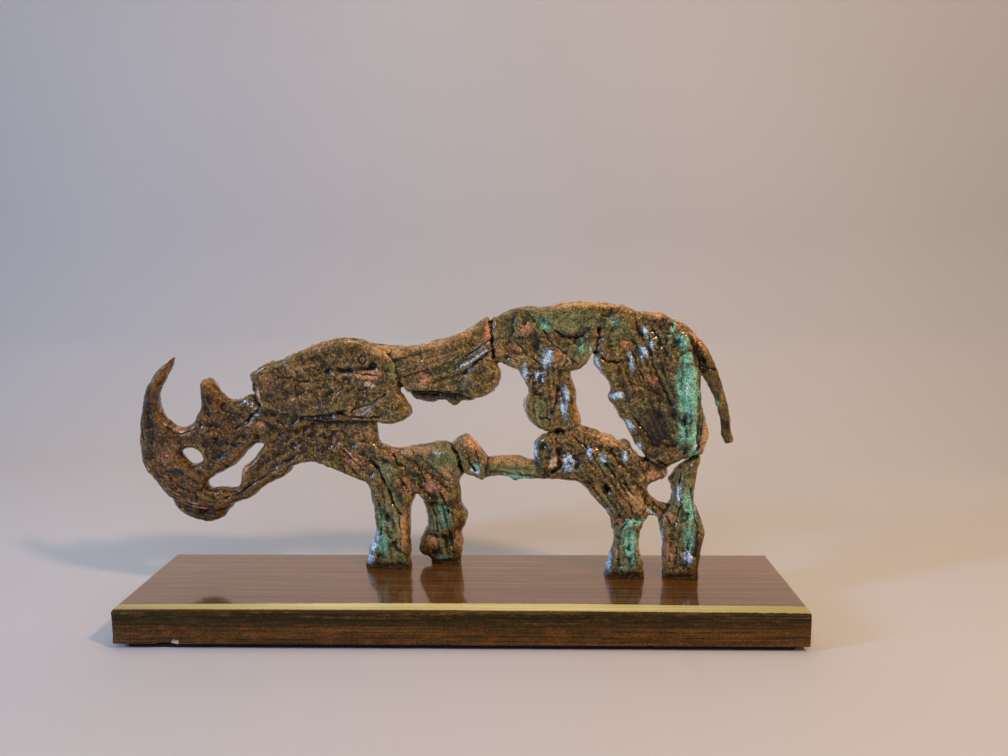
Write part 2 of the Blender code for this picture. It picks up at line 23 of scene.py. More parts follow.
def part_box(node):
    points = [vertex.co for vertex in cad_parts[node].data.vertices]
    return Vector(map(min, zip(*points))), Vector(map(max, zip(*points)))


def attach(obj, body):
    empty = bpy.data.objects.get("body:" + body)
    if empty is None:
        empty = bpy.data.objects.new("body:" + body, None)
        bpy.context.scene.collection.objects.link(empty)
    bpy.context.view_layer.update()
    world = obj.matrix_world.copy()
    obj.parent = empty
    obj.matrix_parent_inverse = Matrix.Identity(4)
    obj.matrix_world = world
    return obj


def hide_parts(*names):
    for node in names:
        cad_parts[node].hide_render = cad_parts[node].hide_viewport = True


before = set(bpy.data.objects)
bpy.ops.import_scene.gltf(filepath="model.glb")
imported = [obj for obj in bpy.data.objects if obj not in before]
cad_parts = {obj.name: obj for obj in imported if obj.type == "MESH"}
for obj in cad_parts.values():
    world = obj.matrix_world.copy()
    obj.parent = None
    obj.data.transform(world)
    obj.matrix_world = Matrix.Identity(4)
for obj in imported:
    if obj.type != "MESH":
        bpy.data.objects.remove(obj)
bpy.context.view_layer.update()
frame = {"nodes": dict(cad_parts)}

MM = 0.001
print("solids:", ", ".join(frame["nodes"]))

# %% [markdown]
# ## Colours and nodes
#
# Colours are easiest to read as the hex values that a paint shop or an image editor shows, but
# Blender's shaders count light in a straight line, so one function turns the first into the second.
# Another one adds a shader node, sets it and links it in a single call. That keeps a material short
# enough to read from top to bottom.

# %% Two helpers for materials
def linear(code):
    """An sRGB hex colour as linear red, green, blue and alpha."""
    parts = [int(code[i:i + 2], 16) / 255 for i in (1, 3, 5)]
    return (*[p / 12.92 if p <= 0.04045 else ((p + 0.055) / 1.055) ** 2.4 for p in parts], 1.0)


def add_node(tree, kind, inputs=(), stops=(), **settings):
    """Add a node, set its properties and colour stops, and link or fill its inputs."""
    node = tree.nodes.new(kind)
    for name, value in settings.items():
        setattr(node, name, value)
    for place, (position, colour) in enumerate(stops):
        points = node.color_ramp.elements
        point = points[place] if place < 2 else points.new(position)
        point.position = position
        point.color = linear(colour)
    for name, value in dict(inputs).items():
        if isinstance(value, bpy.types.NodeSocket):
            tree.links.new(value, node.inputs[name])
        else:
            node.inputs[name].default_value = value
    return node


def new_material(name):
    """An empty node material with its Principled shader."""
    material = bpy.data.materials.new(name)
    material.use_nodes = True
    tree = material.node_tree
    return material, tree, tree.nodes["Principled BSDF"]


def per_mm(size):
    """Texture scale that gives marks of about this size in millimetres."""
    return 1 / (size * MM)


print("mid brown in linear light:", [round(part, 3) for part in linear("#5d4529")])

# %% [markdown]
# ## The wax slabs
#
# Each slab is a flat pad of wax about 13 mm thick with a soft rolled rim. It could be sculpted by
# hand, but a written list keeps the figure easy to change: each pad has a thickness, the width of
# its rolled rim, how far it stands forward, and an outline with a few points in millimetres. These
# are the outlines of the plain solid, so the fine skin lands on top of it.

# %% The outlines of the slabs
NOSTRIL = [(-178.5, 92.6), (-174.7, 95.2), (-169, 95), (-165, 91), (-166.3, 87.5), (-171.5, 85.6),
           (-175.3, 88)]
MOUTH = [(-124, 97), (-127, 98.8), (-131, 98.2), (-137.6, 92.4), (-145.6, 84.3), (-156, 79),
         (-161, 75.5), (-162.5, 71.8), (-160, 70.4), (-153, 71), (-145, 70.4), (-142, 73),
         (-141.3, 78), (-139.5, 84), (-134, 88), (-130.4, 93), (-126.5, 95.2)]

# Each pad: thickness, rim roll, how far it stands forward, lean (forward per mm of x and of z),
# outline as x and z, and holes
PADS = {
    "head": dict(thick=13, roll=6, proud=0, outline=[
        (-180.3, 153.6), (-190, 145.8), (-197, 137), (-201, 126), (-203.8, 114), (-205, 100),
        (-204, 88), (-200, 79.5), (-193, 69.5), (-187, 63.5), (-178, 59), (-166, 56), (-156, 56),
        (-146, 60), (-135, 64.5), (-125, 72), (-112, 79), (-104, 92), (-104, 110), (-112, 124),
        (-124, 130), (-134, 130), (-140, 126.4), (-147, 127), (-151.5, 132.5), (-155, 138),
        (-159.6, 140), (-163.3, 138), (-163.6, 130), (-165, 121), (-169, 113.5), (-174, 109.5),
        (-179, 109), (-184.5, 112), (-189, 117), (-191, 125), (-189.5, 133), (-184.5, 141.5),
        (-180.4, 149)], holes=[NOSTRIL, MOUTH]),
    "chin": dict(thick=11, roll=6, proud=-1.5, outline=[
        (-187, 64), (-186, 58), (-180, 52.5), (-172, 49), (-164, 47.5), (-156, 50), (-151, 55),
        (-147, 61), (-158, 66), (-172, 69), (-182, 69)]),
    "second_horn": dict(thick=13, roll=6, proud=0.8, outline=[
        (-168, 114), (-164.5, 122), (-163.4, 131), (-163.4, 137.5), (-159.6, 140), (-155, 137.6),
        (-151.5, 131), (-149, 122), (-153, 112), (-161, 109)]),
    "neck": dict(thick=14, roll=4.5, proud=2, outline=[
        (-131.5, 143), (-128.5, 145), (-124, 148.5), (-118, 151), (-110, 152.5), (-99, 158),
        (-88, 162.2), (-78, 164.6), (-68, 165.2), (-56, 162.5), (-46, 158), (-40, 150),
        (-38, 138), (-38, 126), (-46, 116), (-58, 113.5), (-70, 114), (-80, 113), (-88, 113),
        (-98, 115), (-108, 116.5), (-118, 119.5), (-127, 124.5), (-129.8, 132)]),
    "neck_lobe": dict(thick=12, roll=5, proud=3, outline=[
        (-72, 141), (-60, 142.5), (-50, 141.5), (-42, 137), (-36, 131), (-33, 125.5),
        (-31, 119.5), (-36, 115.6), (-43, 113), (-54, 113.3), (-66, 115), (-75, 122),
        (-77, 133)]),
    "chest": dict(thick=13, roll=5, proud=0, outline=[
        (-126, 98), (-118, 104), (-112, 112), (-104, 120), (-80, 122), (-60, 120), (-54.3, 113),
        (-53.3, 108), (-52.2, 102), (-50, 97), (-48, 88), (-54, 80), (-60, 76), (-65, 76.5),
        (-71, 78.6), (-76, 81), (-81, 83.2), (-86, 84.8), (-91, 86.3), (-96, 87),
        (-101.5, 86.8), (-106, 85.2), (-112, 81.5), (-120, 77), (-128, 73), (-134, 84)]),
    "shoulder": dict(thick=12, roll=4.5, proud=1, outline=[
        (-66, 163), (-56, 162.5), (-44, 161), (-32, 160.8), (-20, 163), (-9, 165.5), (1, 170),
        (9, 174.5), (15.3, 177.6), (17.4, 170), (18, 160), (20, 152), (23, 146), (22.5, 140),
        (19, 134.5), (13, 130.4), (5, 130), (-5, 131), (-15, 132), (-25, 132), (-34, 132),
        (-39, 138), (-44, 145), (-54, 149), (-64, 153)]),
    "shoulder_under": dict(thick=9, roll=4, proud=-2.5, outline=[
        (-34, 134), (-31, 128), (-26, 126.2), (-20, 125), (-14.5, 126.8), (-11, 126.5),
        (-8, 124), (-4, 124), (-0.5, 126.8), (5, 126.8), (9, 129), (14, 130), (19, 134.5),
        (5, 142), (-15, 142), (-28, 141)]),
    "shoulder_lobe": dict(thick=11, roll=4.5, proud=2.6, outline=[
        (0, 143), (6, 150), (12, 155), (17, 157), (20, 152), (23, 146), (22.5, 140),
        (19, 134.5), (13, 130), (6, 129.4), (0, 131), (-3, 137)]),
    "back": dict(thick=13, roll=5, proud=0.5, outline=[
        (17.5, 176.5), (21, 179), (25, 181), (30, 183), (36, 184), (45, 184), (52, 184.5),
        (60, 186.3), (67, 187), (75, 187), (84, 186.5), (92, 185.3), (99, 183.2), (104, 181.6),
        (112, 181), (117, 179.6), (123, 176), (129.5, 171.5), (136, 166), (134, 156),
        (118, 150), (100, 149), (88, 151.5), (79, 157), (76.5, 156), (74.5, 151), (70.5, 147.3),
        (64, 145.8), (57, 146), (50, 147.5), (42, 147), (34, 146.5), (28, 147.5), (22.5, 149.8),
        (17.5, 153), (17, 165)]),
    "saddle": dict(thick=10, roll=5, proud=2.4, outline=[
        (44, 179), (51, 173), (57, 168.5), (64, 166), (72, 167.5), (78, 172), (82, 178),
        (80, 184), (70, 185.5), (58, 184.5), (48, 182.5)]),
    "back_end": dict(thick=11, roll=5, proud=2.4, outline=[
        (80, 157), (86, 152.5), (94, 152), (100, 156), (103, 165), (102, 175), (98, 181),
        (88, 182), (82, 176), (80, 166)]),
    "rib": dict(thick=12, roll=5, proud=0.6, outline=[
        (32.5, 152), (33.6, 145), (36.4, 138.5), (38.8, 133.5), (36.8, 130), (35.9, 125.6),
        (36.7, 121), (39.3, 116.2), (42.7, 112.8), (46, 110.6), (50, 109.6), (55, 110),
        (59, 112.5), (59, 122), (58, 134), (58, 150), (50, 156), (40, 156)]),
    "rib_strip": dict(thick=11, roll=5, proud=-1, outline=[
        (57, 153), (63.3, 148), (65, 141), (66.9, 135), (67.7, 128), (68.7, 122.5),
        (70.4, 118), (70.4, 115), (68, 110), (66, 102), (60, 98), (57, 103), (58, 112),
        (57, 125), (56, 140)]),
    "haunch": dict(thick=14, roll=5.5, proud=1, outline=[
        (78.5, 158), (84, 160), (96, 166), (112, 172), (124, 173), (133, 167), (137.5, 158),
        (138.5, 149), (138.5, 140), (139, 132), (140, 124.5), (141.8, 119), (143.6, 113),
        (143.3, 107), (142, 102), (140, 98), (135, 96.5), (131, 95), (125, 92), (120, 88.8),
        (115.5, 89.5), (110.5, 92.8), (106.6, 97), (102.6, 101.6), (99.6, 107.5), (96, 114),
        (92, 119), (89.5, 124.5), (86, 129), (86, 132.5), (87.5, 135.5), (84, 142),
        (80, 146.5), (77, 151.5)]),
    "haunch_ridge": dict(thick=13, roll=5, proud=3, outline=[
        (124, 166), (129, 169), (133, 163), (136, 150), (136.5, 138), (137, 125), (137, 112),
        (136, 101), (131, 97), (127, 104), (125.5, 120), (125, 136), (124.5, 152)]),
    "rear": dict(thick=14, roll=6, proud=0, outline=[
        (50, 108.3), (58, 110.5), (63, 113), (68, 114), (73.6, 112.6), (79.5, 110.4),
        (85, 108.7), (88.6, 107), (91.5, 104.4), (94, 105.3), (96.3, 105.6), (98.8, 103.8),
        (101.4, 99.8), (105.4, 95.4), (110, 94), (118, 92), (121.3, 86.5), (119, 82.2),
        (112.5, 79.8), (109.6, 76), (108, 70), (112, 63), (110.5, 59.6), (106.5, 54.5),
        (100, 50), (90, 49.5), (88, 56.4), (85, 61.8), (80.9, 65.8), (76.8, 69.7), (74, 73.5),
        (70, 76.8), (66, 79), (58, 79.8), (51, 81.5), (46, 85.5), (43, 91), (42, 97),
        (42.8, 103), (46, 106.8)]),
    "knob": dict(thick=12, roll=6, proud=2.4, outline=[
        (50, 108.3), (46, 106.8), (42.8, 103), (42, 97), (43.3, 91), (48, 85.5), (54, 84.5),
        (58, 89), (58.5, 97), (56.5, 106)]),
    "thigh": dict(thick=11, roll=5.5, proud=2.8, outline=[
        (70, 99), (79, 103), (89, 98), (97, 90), (104, 82), (107, 72), (108, 63), (104, 56),
        (96, 54.5), (90, 57), (85, 66), (78, 74), (71, 82), (67, 91)]),
    "belly_bar": dict(thick=11, roll=6, proud=0, outline=[
        (8, 90), (15, 92.8), (21.7, 93.7), (28, 94.2), (35, 93.6), (40, 92.3), (46, 90.8),
        (54, 88), (60, 84), (58, 80), (50, 79.8), (42, 79.6), (36, 79.4), (31, 78.8),
        (26, 80.4), (21, 81), (15, 80.4), (9, 79)]),
    "knuckle": dict(thick=15, roll=6, proud=2, outline=[
        (-8, 100.5), (-5.2, 104.2), (-1.8, 106), (2, 106.9), (5, 105.6), (8, 102.3),
        (11, 98.4), (14, 94), (15.2, 91), (14, 87), (13, 80.5), (10.5, 78.3), (6.5, 80),
        (2, 81.7), (-1, 84), (-3, 90), (-5, 96)]),
    "fore": dict(thick=14, roll=5.5, proud=0.5, outline=[
        (-66, 103), (-56, 103), (-52, 100), (-48.5, 99), (-43.5, 97.7), (-38.5, 97.4),
        (-34, 98.5), (-29, 100), (-23, 100), (-19, 101), (-14, 102), (-9.5, 101.6), (-4, 99),
        (-0.5, 92), (0, 82.5), (-2.5, 78), (-3.5, 72), (-4.5, 66), (-12, 62), (-20, 63),
        (-26, 65.5), (-29.7, 69), (-33, 65.5), (-42, 62), (-52, 62), (-58, 68), (-60, 74),
        (-64, 78), (-70, 84), (-72, 95)]),
    "green_pad": dict(thick=8, roll=4, proud=4.6, outline=[
        (-54, 84), (-52, 89), (-46, 90), (-41, 87), (-39.5, 81), (-44, 78), (-50, 78)]),
    "front_leg": dict(thick=15, roll=7, proud=1.5, outline=[
        (-61.5, 80), (-59.5, 72), (-58, 64), (-57, 54), (-56, 46), (-57.2, 40), (-60.5, 35),
        (-62.3, 28), (-62.3, 20), (-58, 15), (-48, 14), (-38, 15), (-34.3, 20), (-34, 30),
        (-34.3, 42), (-34, 52), (-32.8, 61), (-30.5, 67.5), (-31, 76), (-40, 84), (-52, 85)]),
    "second_leg": dict(thick=14, roll=7, proud=-5, lean=(0, 0.13), outline=[
        (-31, 80), (-28.5, 67.5), (-25.6, 62), (-24.7, 54), (-25, 46), (-27.3, 41),
        (-29.8, 34.5), (-29.9, 30), (-28, 27), (-23.5, 25), (-22, 18), (-18, 14), (-8, 14),
        (-4.5, 19), (-3.2, 28), (-2, 34), (-2, 43), (0.3, 49), (1.4, 54), (0.3, 59), (-3, 65),
        (-3, 76), (-8, 84), (-20, 88)]),
    "third_leg": dict(thick=14, roll=6.5, proud=2.5, outline=[
        (90, 54), (95, 60), (101, 61), (107, 57), (105.5, 50), (104.8, 45), (105.3, 39),
        (107, 34), (107.8, 28), (108.3, 20), (104, 14), (96, 13.5), (88, 14), (84.2, 20),
        (85.8, 29), (87.4, 36), (89, 41), (89.6, 46)]),
    "fourth_leg": dict(thick=14, roll=6.5, proud=-0.5, outline=[
        (134, 95.5), (139.5, 96.8), (138.4, 89), (137.1, 81), (136.7, 73), (138, 67),
        (140, 61), (142.2, 55), (143, 50), (142.3, 44), (141, 38), (140, 31), (140.4, 20),
        (136, 14), (128, 13.5), (122, 15), (119.5, 21), (118.6, 32), (118.2, 40), (118.1, 47),
        (117, 53), (116, 57), (118, 62), (121.4, 67), (123.2, 70.5), (123.6, 75),
        (122.4, 79), (121.2, 82), (123.6, 85.4), (125.2, 88.6), (129, 91.8)]),
    "hock_link": dict(thick=9, roll=4, proud=-1.5, outline=[
        (106, 78), (109.6, 75), (112, 71), (116, 68), (121, 66.8), (125, 62), (123, 55.5),
        (118, 56.5), (114, 58.8), (110, 59.6), (104, 64), (103, 72)]),
}

# The tail strip: x, z and radius from the rump to its tip
TAIL = [(112, 177, 3.4), (122, 173.4, 4), (131, 166.6, 4.5), (138.5, 157.5, 4.8),
        (143.6, 146, 4.6), (147, 138, 3.9), (149.4, 132, 3.3), (151.1, 126, 3.1),
        (152.3, 120, 3.1), (153.4, 113, 3.2), (154.8, 107.5, 2.9), (155.6, 105, 2.4)]
TAIL_SIDES = 16
print(len(PADS), "slabs and a tail strip")

# %% [markdown]
# ## From an outline to a pad
#
# A curve through the points gives the rim. Inside it, a grid of points is joined into triangles by
# a constrained Delaunay fill, which keeps the rim and the holes exactly. The surface rises from the
# rim like a quarter circle and stays flat in the middle, as wax does when a thumb rolls its edge
# over. Two such sheets, front and back, share the rim and close the pad.

# %% Curves and distances
BOW_START = 110.0
BOW_DEPTH = 10.5
BOW_LEAN = 0.13
BOW_CURVE = 0.000164
CURVE_STEPS = 6
NO_LENGTH = 1e-4


def slab_depth(x):
    """Depth of the slab's middle surface at x."""
    reach = BOW_START - x
    return BOW_DEPTH + BOW_LEAN * reach - BOW_CURVE * reach * reach


def smooth_loop(points, steps=CURVE_STEPS):
    """A closed curve through the given points."""
    knots = np.array(points, float)
    before = np.roll(knots, 1, axis=0)
    after = np.roll(knots, -1, axis=0)
    beyond = np.roll(knots, -2, axis=0)
    curve = []
    for step in range(steps):
        t = step / steps
        curve.append(0.5 * (2 * knots + (after - before) * t
                            + (2 * before - 5 * knots + 4 * after - beyond) * t * t
                            + (3 * knots - before - 3 * after + beyond) * t ** 3))
    return np.stack(curve, axis=1).reshape(-1, 2)


def is_inside(spots, loops):
    """Which spots lie inside the loops, holes left out."""
    inside = np.zeros(len(spots), bool)
    for loop in loops:
        ends = np.roll(loop, -1, axis=0)
        for (ax, az), (bx, bz) in zip(loop, ends):
            crosses = (az > spots[:, 1]) != (bz > spots[:, 1])
            rise = bz - az if bz != az else 1.0
            at = ax + (spots[:, 1] - az) * (bx - ax) / rise
            inside ^= crosses & (spots[:, 0] < at)
    return inside


def run_distance(spots, start, end):
    """Distance from each spot to one straight run."""
    run = end - start
    share = np.clip((spots - start) @ run / max(run @ run, NO_LENGTH), 0, 1)
    return np.linalg.norm(spots - start - share[:, None] * run, axis=1)


def edge_distance(spots, loops):
    """Distance from each spot to the nearest loop."""
    nearest = np.full(len(spots), np.inf)
    for loop in loops:
        for start, end in zip(loop, np.roll(loop, -1, axis=0)):
            nearest = np.minimum(nearest, run_distance(spots, start, end))
    return nearest


def line_distance(spots, line):
    """Distance from each spot to an open line."""
    knots = np.array(line, float)
    nearest = np.full(len(spots), np.inf)
    for start, end in zip(knots, knots[1:]):
        nearest = np.minimum(nearest, run_distance(spots, start, end))
    return nearest


def pad_profile(gap, roll):
    """Share of the half thickness reached at a distance from the rim."""
    reach = np.clip(gap / roll, 0, 1)
    return np.sqrt(1 - (1 - reach) ** 2)


rim = smooth_loop(PADS["head"]["outline"])
print("the head's rim has", len(rim), "points after smoothing")

# %% Pads and the tail strip
PAD_PITCH = 1.5


def add_pad(body, thick, roll, proud, outline, holes=(), lean=(0, 0), pitch=PAD_PITCH):
    """Add one closed pad to the body."""
    loops = [smooth_loop(points) for points in (outline, *holes)]
    low = loops[0].min(axis=0)
    high = loops[0].max(axis=0)
    columns = np.arange(low[0] + pitch / 2, high[0], pitch)
    rows = np.arange(low[1] + pitch / 2, high[1], pitch)
    grid = np.stack(np.meshgrid(columns, rows), axis=-1).reshape(-1, 2)
    grid = grid[is_inside(grid, loops)]
    gap = edge_distance(grid, loops)
    grid = grid[gap > pitch / 3]
    gap = gap[gap > pitch / 3]

    rims = np.concatenate(loops)
    edges = []
    for loop in loops:
        first = len(edges)
        count = len(loop)
        edges += [(first + i, first + (i + 1) % count) for i in range(count)]
    spots = np.concatenate([rims, grid])
    flat = delaunay_2d_cdt([Vector(spot) for spot in spots], edges, [], 0, NO_LENGTH)
    corners = np.array([tuple(corner) for corner in flat[0]])
    faces = np.array([face for face in flat[2] if len(face) == 3])
    faces = faces[is_inside(corners[faces].mean(axis=1), loops)]

    rise = np.zeros(len(corners))
    inner = edge_distance(corners, loops)
    off_rim = inner > NO_LENGTH
    rise[off_rim] = pad_profile(inner[off_rim], roll) * thick / 2
    middle = corners.mean(axis=0)
    forward = proud + (corners - middle) @ np.array(lean, float)
    depth = slab_depth(corners[:, 0]) - forward
    on_rim = rise == 0
    front = [body.verts.new((x, y, z)) for x, y, z
             in zip(corners[:, 0], depth - rise, corners[:, 1])]
    back = [front[i] if on_rim[i] else body.verts.new((corners[i, 0], depth[i] + rise[i],
                                                       corners[i, 1]))
            for i in range(len(corners))]
    for a, b, c in faces:
        body.faces.new((front[a], front[b], front[c]))
        if not (on_rim[a] and on_rim[b] and on_rim[c]):
            body.faces.new((back[c], back[b], back[a]))


def add_strip(body, knots, sides=TAIL_SIDES):
    """Add a round tapering strip along knots of x, z and radius."""
    line = [(Vector((x, slab_depth(x), z)), radius) for x, z, radius in knots]
    rings = []
    for place, (centre, radius) in enumerate(line):
        ahead = line[min(place + 1, len(line) - 1)][0] - line[max(place - 1, 0)][0]
        side = ahead.cross(Vector((0, 1, 0))).normalized()
        across = ahead.cross(side).normalized()
        turns = [2 * math.pi * i / sides for i in range(sides)]
        rings.append([body.verts.new(centre + radius * (math.cos(a) * side + math.sin(a) * across))
                      for a in turns])
    for ring, following in zip(rings, rings[1:]):
        for i in range(sides):
            j = (i + 1) % sides
            body.faces.new((ring[i], ring[j], following[j], following[i]))
    body.faces.new(list(reversed(rings[0])))
    body.faces.new(rings[-1])

# %% [markdown]
# ## One skin
#
# The pads overlap as loose shells. In the casting they are one body, so a voxel remesh fuses them:
# it fills space with small cubes and wraps a new skin round them. Cubes of 0.6 mm are fine enough
# for the cracks to come. A few rounds of smoothing take the steps away again. Where two rims only
# touch, a thin extra pad behind them keeps the joint shut, as the bronze does.

# %% Fuse the pads
FUSE_VOXEL = 0.6
SMOOTH_ROUNDS = 4
# The plain solid has wide rolled rims to save faces, and the cast ones are tighter
ROLL_SHARE = 0.6


def bake(item):
    """Replace a mesh with what its modifiers make of it."""
    seen = item.evaluated_get(bpy.context.evaluated_depsgraph_get())
    made = bpy.data.meshes.new_from_object(seen)
    item.modifiers.clear()
    item.data = made


def link_object(name, mesh):
    """An object in the scene for a mesh."""
    item = bpy.data.objects.new(name, mesh)
    bpy.context.scene.collection.objects.link(item)
    return item


# Thin pads behind the places where two rims meet, so that only a crack is left between them
BRIDGES = {
    "shoulder": dict(thick=12, roll=2, proud=0.4, outline=[
        (10, 153), (17, 154), (24.5, 151.5), (26, 165), (25, 178.5), (17.6, 175), (10, 173.4),
        (9, 163)]),
    "rib": dict(thick=11, roll=2, proud=0, outline=[
        (50, 151), (62, 147), (64, 138), (66, 126), (68.4, 116), (64, 109), (56, 112), (51, 118),
        (50, 134)]),
    "back": dict(thick=12.4, roll=2, proud=1.0, outline=[
        (73, 160), (78.6, 159.4), (84, 156.5), (90, 162), (90, 175), (80, 178), (72, 174),
        (71, 166)]),
    "band": dict(thick=14, roll=11, proud=2.4, outline=[
        (112, 152), (118, 164), (128, 168), (133, 163), (136, 150), (137, 125), (136, 102), (130, 98),
        (121, 102), (113, 112), (110, 130)]),
    "elbow": dict(thick=13, roll=8, proud=-0.8, lean=(0, 0.16), outline=[
        (-27, 74), (-26, 64), (-24, 54), (-22.5, 44), (-14, 39), (-5, 43), (-1, 54), (-2, 66),
        (-4, 78), (-16, 80)]),
    "throat": dict(thick=13, roll=5, proud=1.6, outline=[
        (-136, 126), (-127, 129), (-116, 125), (-104, 122), (-92, 119), (-88, 113), (-98, 108),
        (-112, 107), (-126, 113), (-134, 119)]),
    "knob": dict(thick=12, roll=2, proud=0.6, outline=[
        (50, 106), (66, 108), (68, 96), (62, 84), (52, 84.5), (50, 94)]),
}
wax = bmesh.new()
for pad in BRIDGES.values():
    add_pad(wax, **pad)
for pad in PADS.values():
    add_pad(wax, **{**pad, "roll": ROLL_SHARE * pad["roll"]})
add_strip(wax, TAIL)
bmesh.ops.recalc_face_normals(wax, faces=wax.faces)
shell = bpy.data.meshes.new("bronze_rhinoceros")
wax.to_mesh(shell)
wax.free()
figure = link_object("bronze_rhinoceros", shell)
remesh = figure.modifiers.new("fuse", "REMESH")
remesh.mode = "VOXEL"
remesh.voxel_size = FUSE_VOXEL
soften = figure.modifiers.new("soften", "SMOOTH")
soften.factor = 0.5
soften.iterations = SMOOTH_ROUNDS
bake(figure)
print("fused skin:", len(figure.data.polygons), "squares")

# %% [markdown]
# ## Seams, cracks and tool marks
#
# Where two slabs meet, the wax left a seam, and where it was bent it cracked. Tools and fingers
# left smaller marks: scratches on the chest, pits, small buttons, and streaks where the wax was
# dragged. They could be painted as a bump in the material, but real dents catch the light from
# every side and show in the outline, so the points of the mesh are moved instead. A mark is a line
# with a width and a depth, and its profile is a bell curve.

# %% Seams and cracks
CREASES = {
    "head_seam": dict(width=1.6, depth=2.6, line=[
        (-128.5, 137), (-127.6, 127), (-125.5, 124), (-127.6, 120), (-132.8, 115.6),
        (-136.6, 112), (-141, 109.5)]),
    "head_seam_branch": dict(width=1.4, depth=1.6, line=[
        (-125, 124), (-122.6, 120.6), (-115, 118.2)]),
    "neck_hollow": dict(width=3.2, depth=1.8, line=[(-82, 146), (-72, 145.5), (-62, 147), (-53, 148)]),
    "shoulder_crack": dict(width=1.1, depth=4.5, line=[
        (16.8, 178), (17.2, 172), (17.6, 166), (17.8, 160), (18.8, 154)]),
    "shoulder_seam": dict(width=1.3, depth=2.2, line=[(0, 144), (5, 148.5), (11, 153.5), (17, 158)]),
    "shoulder_lip": dict(width=3.4, depth=1.6, line=[
        (-34, 133.8), (-25, 131.2), (-18, 131.2), (-11, 132.3), (-4, 132.7), (2, 133.8)]),
    "saddle_fold": dict(width=1.7, depth=2.2, line=[
        (55, 169.5), (58, 167.3), (63, 166.2), (68, 166.8), (71, 168.2)]),
    "back_crack": dict(width=1.4, depth=4.0, line=[
        (80, 171), (79.6, 166), (78.6, 161), (78.4, 157)]),
    "haunch_fold": dict(width=1.6, depth=2.8, line=[
        (79.5, 156.8), (82, 154.2), (85.2, 152.2), (89.6, 152), (93, 153)]),
    "tail_fold": dict(width=1.5, depth=2.2, line=[(137.5, 149.4), (142, 148.6), (146, 148.3)]),
    "rump_hollow": dict(width=3.6, depth=2.6, line=[(132, 163), (136, 157.5), (139, 153)]),
    "rib_seam": dict(width=1.4, depth=2.4, line=[(56.4, 137), (56, 130), (54.6, 125), (53.4, 122)]),
    "rib_fold": dict(width=1.3, depth=1.6, line=[(46.6, 118.4), (51.6, 117.6)]),
    "rib_hollow": dict(width=2.6, depth=2.4, line=[(43, 133.4), (46.4, 132.4)]),
    "knob_seam": dict(width=1.7, depth=2.8, line=[
        (56.4, 99), (57, 96.5), (57.5, 92), (57, 88), (53, 85)]),
    "knuckle_crack": dict(width=1.2, depth=4.6, line=[
        (-7.4, 100.6), (-4.4, 96.6), (-2.6, 92), (-2.7, 88), (-0.5, 84.4), (0.8, 81.8)]),
    "knuckle_fold": dict(width=1.3, depth=2.2, line=[(2.4, 97), (3.6, 91), (6.6, 86)]),
    "belly_lip": dict(width=1.2, depth=1.4, line=[(16, 84.4), (24, 84.2), (31, 82.4), (42, 82.6)]),
    "foreleg_crease": dict(width=1.7, depth=3.6, line=[
        (-58, 91), (-52.5, 85.2), (-48.5, 76.5), (-45.8, 71.5), (-44, 64.5), (-39.4, 57)]),
    "elbow_crease": dict(width=1.4, depth=2.6, line=[(-40, 81), (-38.7, 79), (-36, 75.3), (-34, 71.7)]),
    "armpit_crease": dict(width=1.2, depth=2.0, line=[(-26.5, 74.5), (-24.4, 72.3), (-20.5, 68.5)]),
    "second_leg_crease": dict(width=1.6, depth=3.0, line=[
        (-17, 76), (-15.7, 72.8), (-13.6, 69.3), (-11, 62.3), (-10, 58)]),
    "thigh_pit": dict(width=2.6, depth=3.2, line=[(84, 78), (86.4, 74.6)]),
    "thigh_groove": dict(width=1.5, depth=2.0, line=[(94.8, 80.3), (97.3, 77), (100.7, 73)]),
    "shin_joint": dict(width=1.4, depth=2.4, line=[
        (92, 47), (92.8, 51.6), (95.6, 55.4), (98.5, 56.8), (102, 57)]),
}

# Lumps thumbed onto the front: x, z, radius and height
LUMPS = {
    "cheek": (-129, 111.5, 6.0, 1.6),
    "brow": (-158.5, 106, 4.0, 1.4),
    "neck_button": (-103.5, 127, 4.2, 1.3),
    "elbow": (-0.5, 54, 5.0, 0.9),
    "toe": (-25.5, 33, 5.0, 0.8),
    "bead": (-33.4, 45.7, 1.7, 1.0),
    "hoof": (134, 34, 5.0, 1.2),
}
print(len(CREASES), "main seams and", len(LUMPS), "lumps")

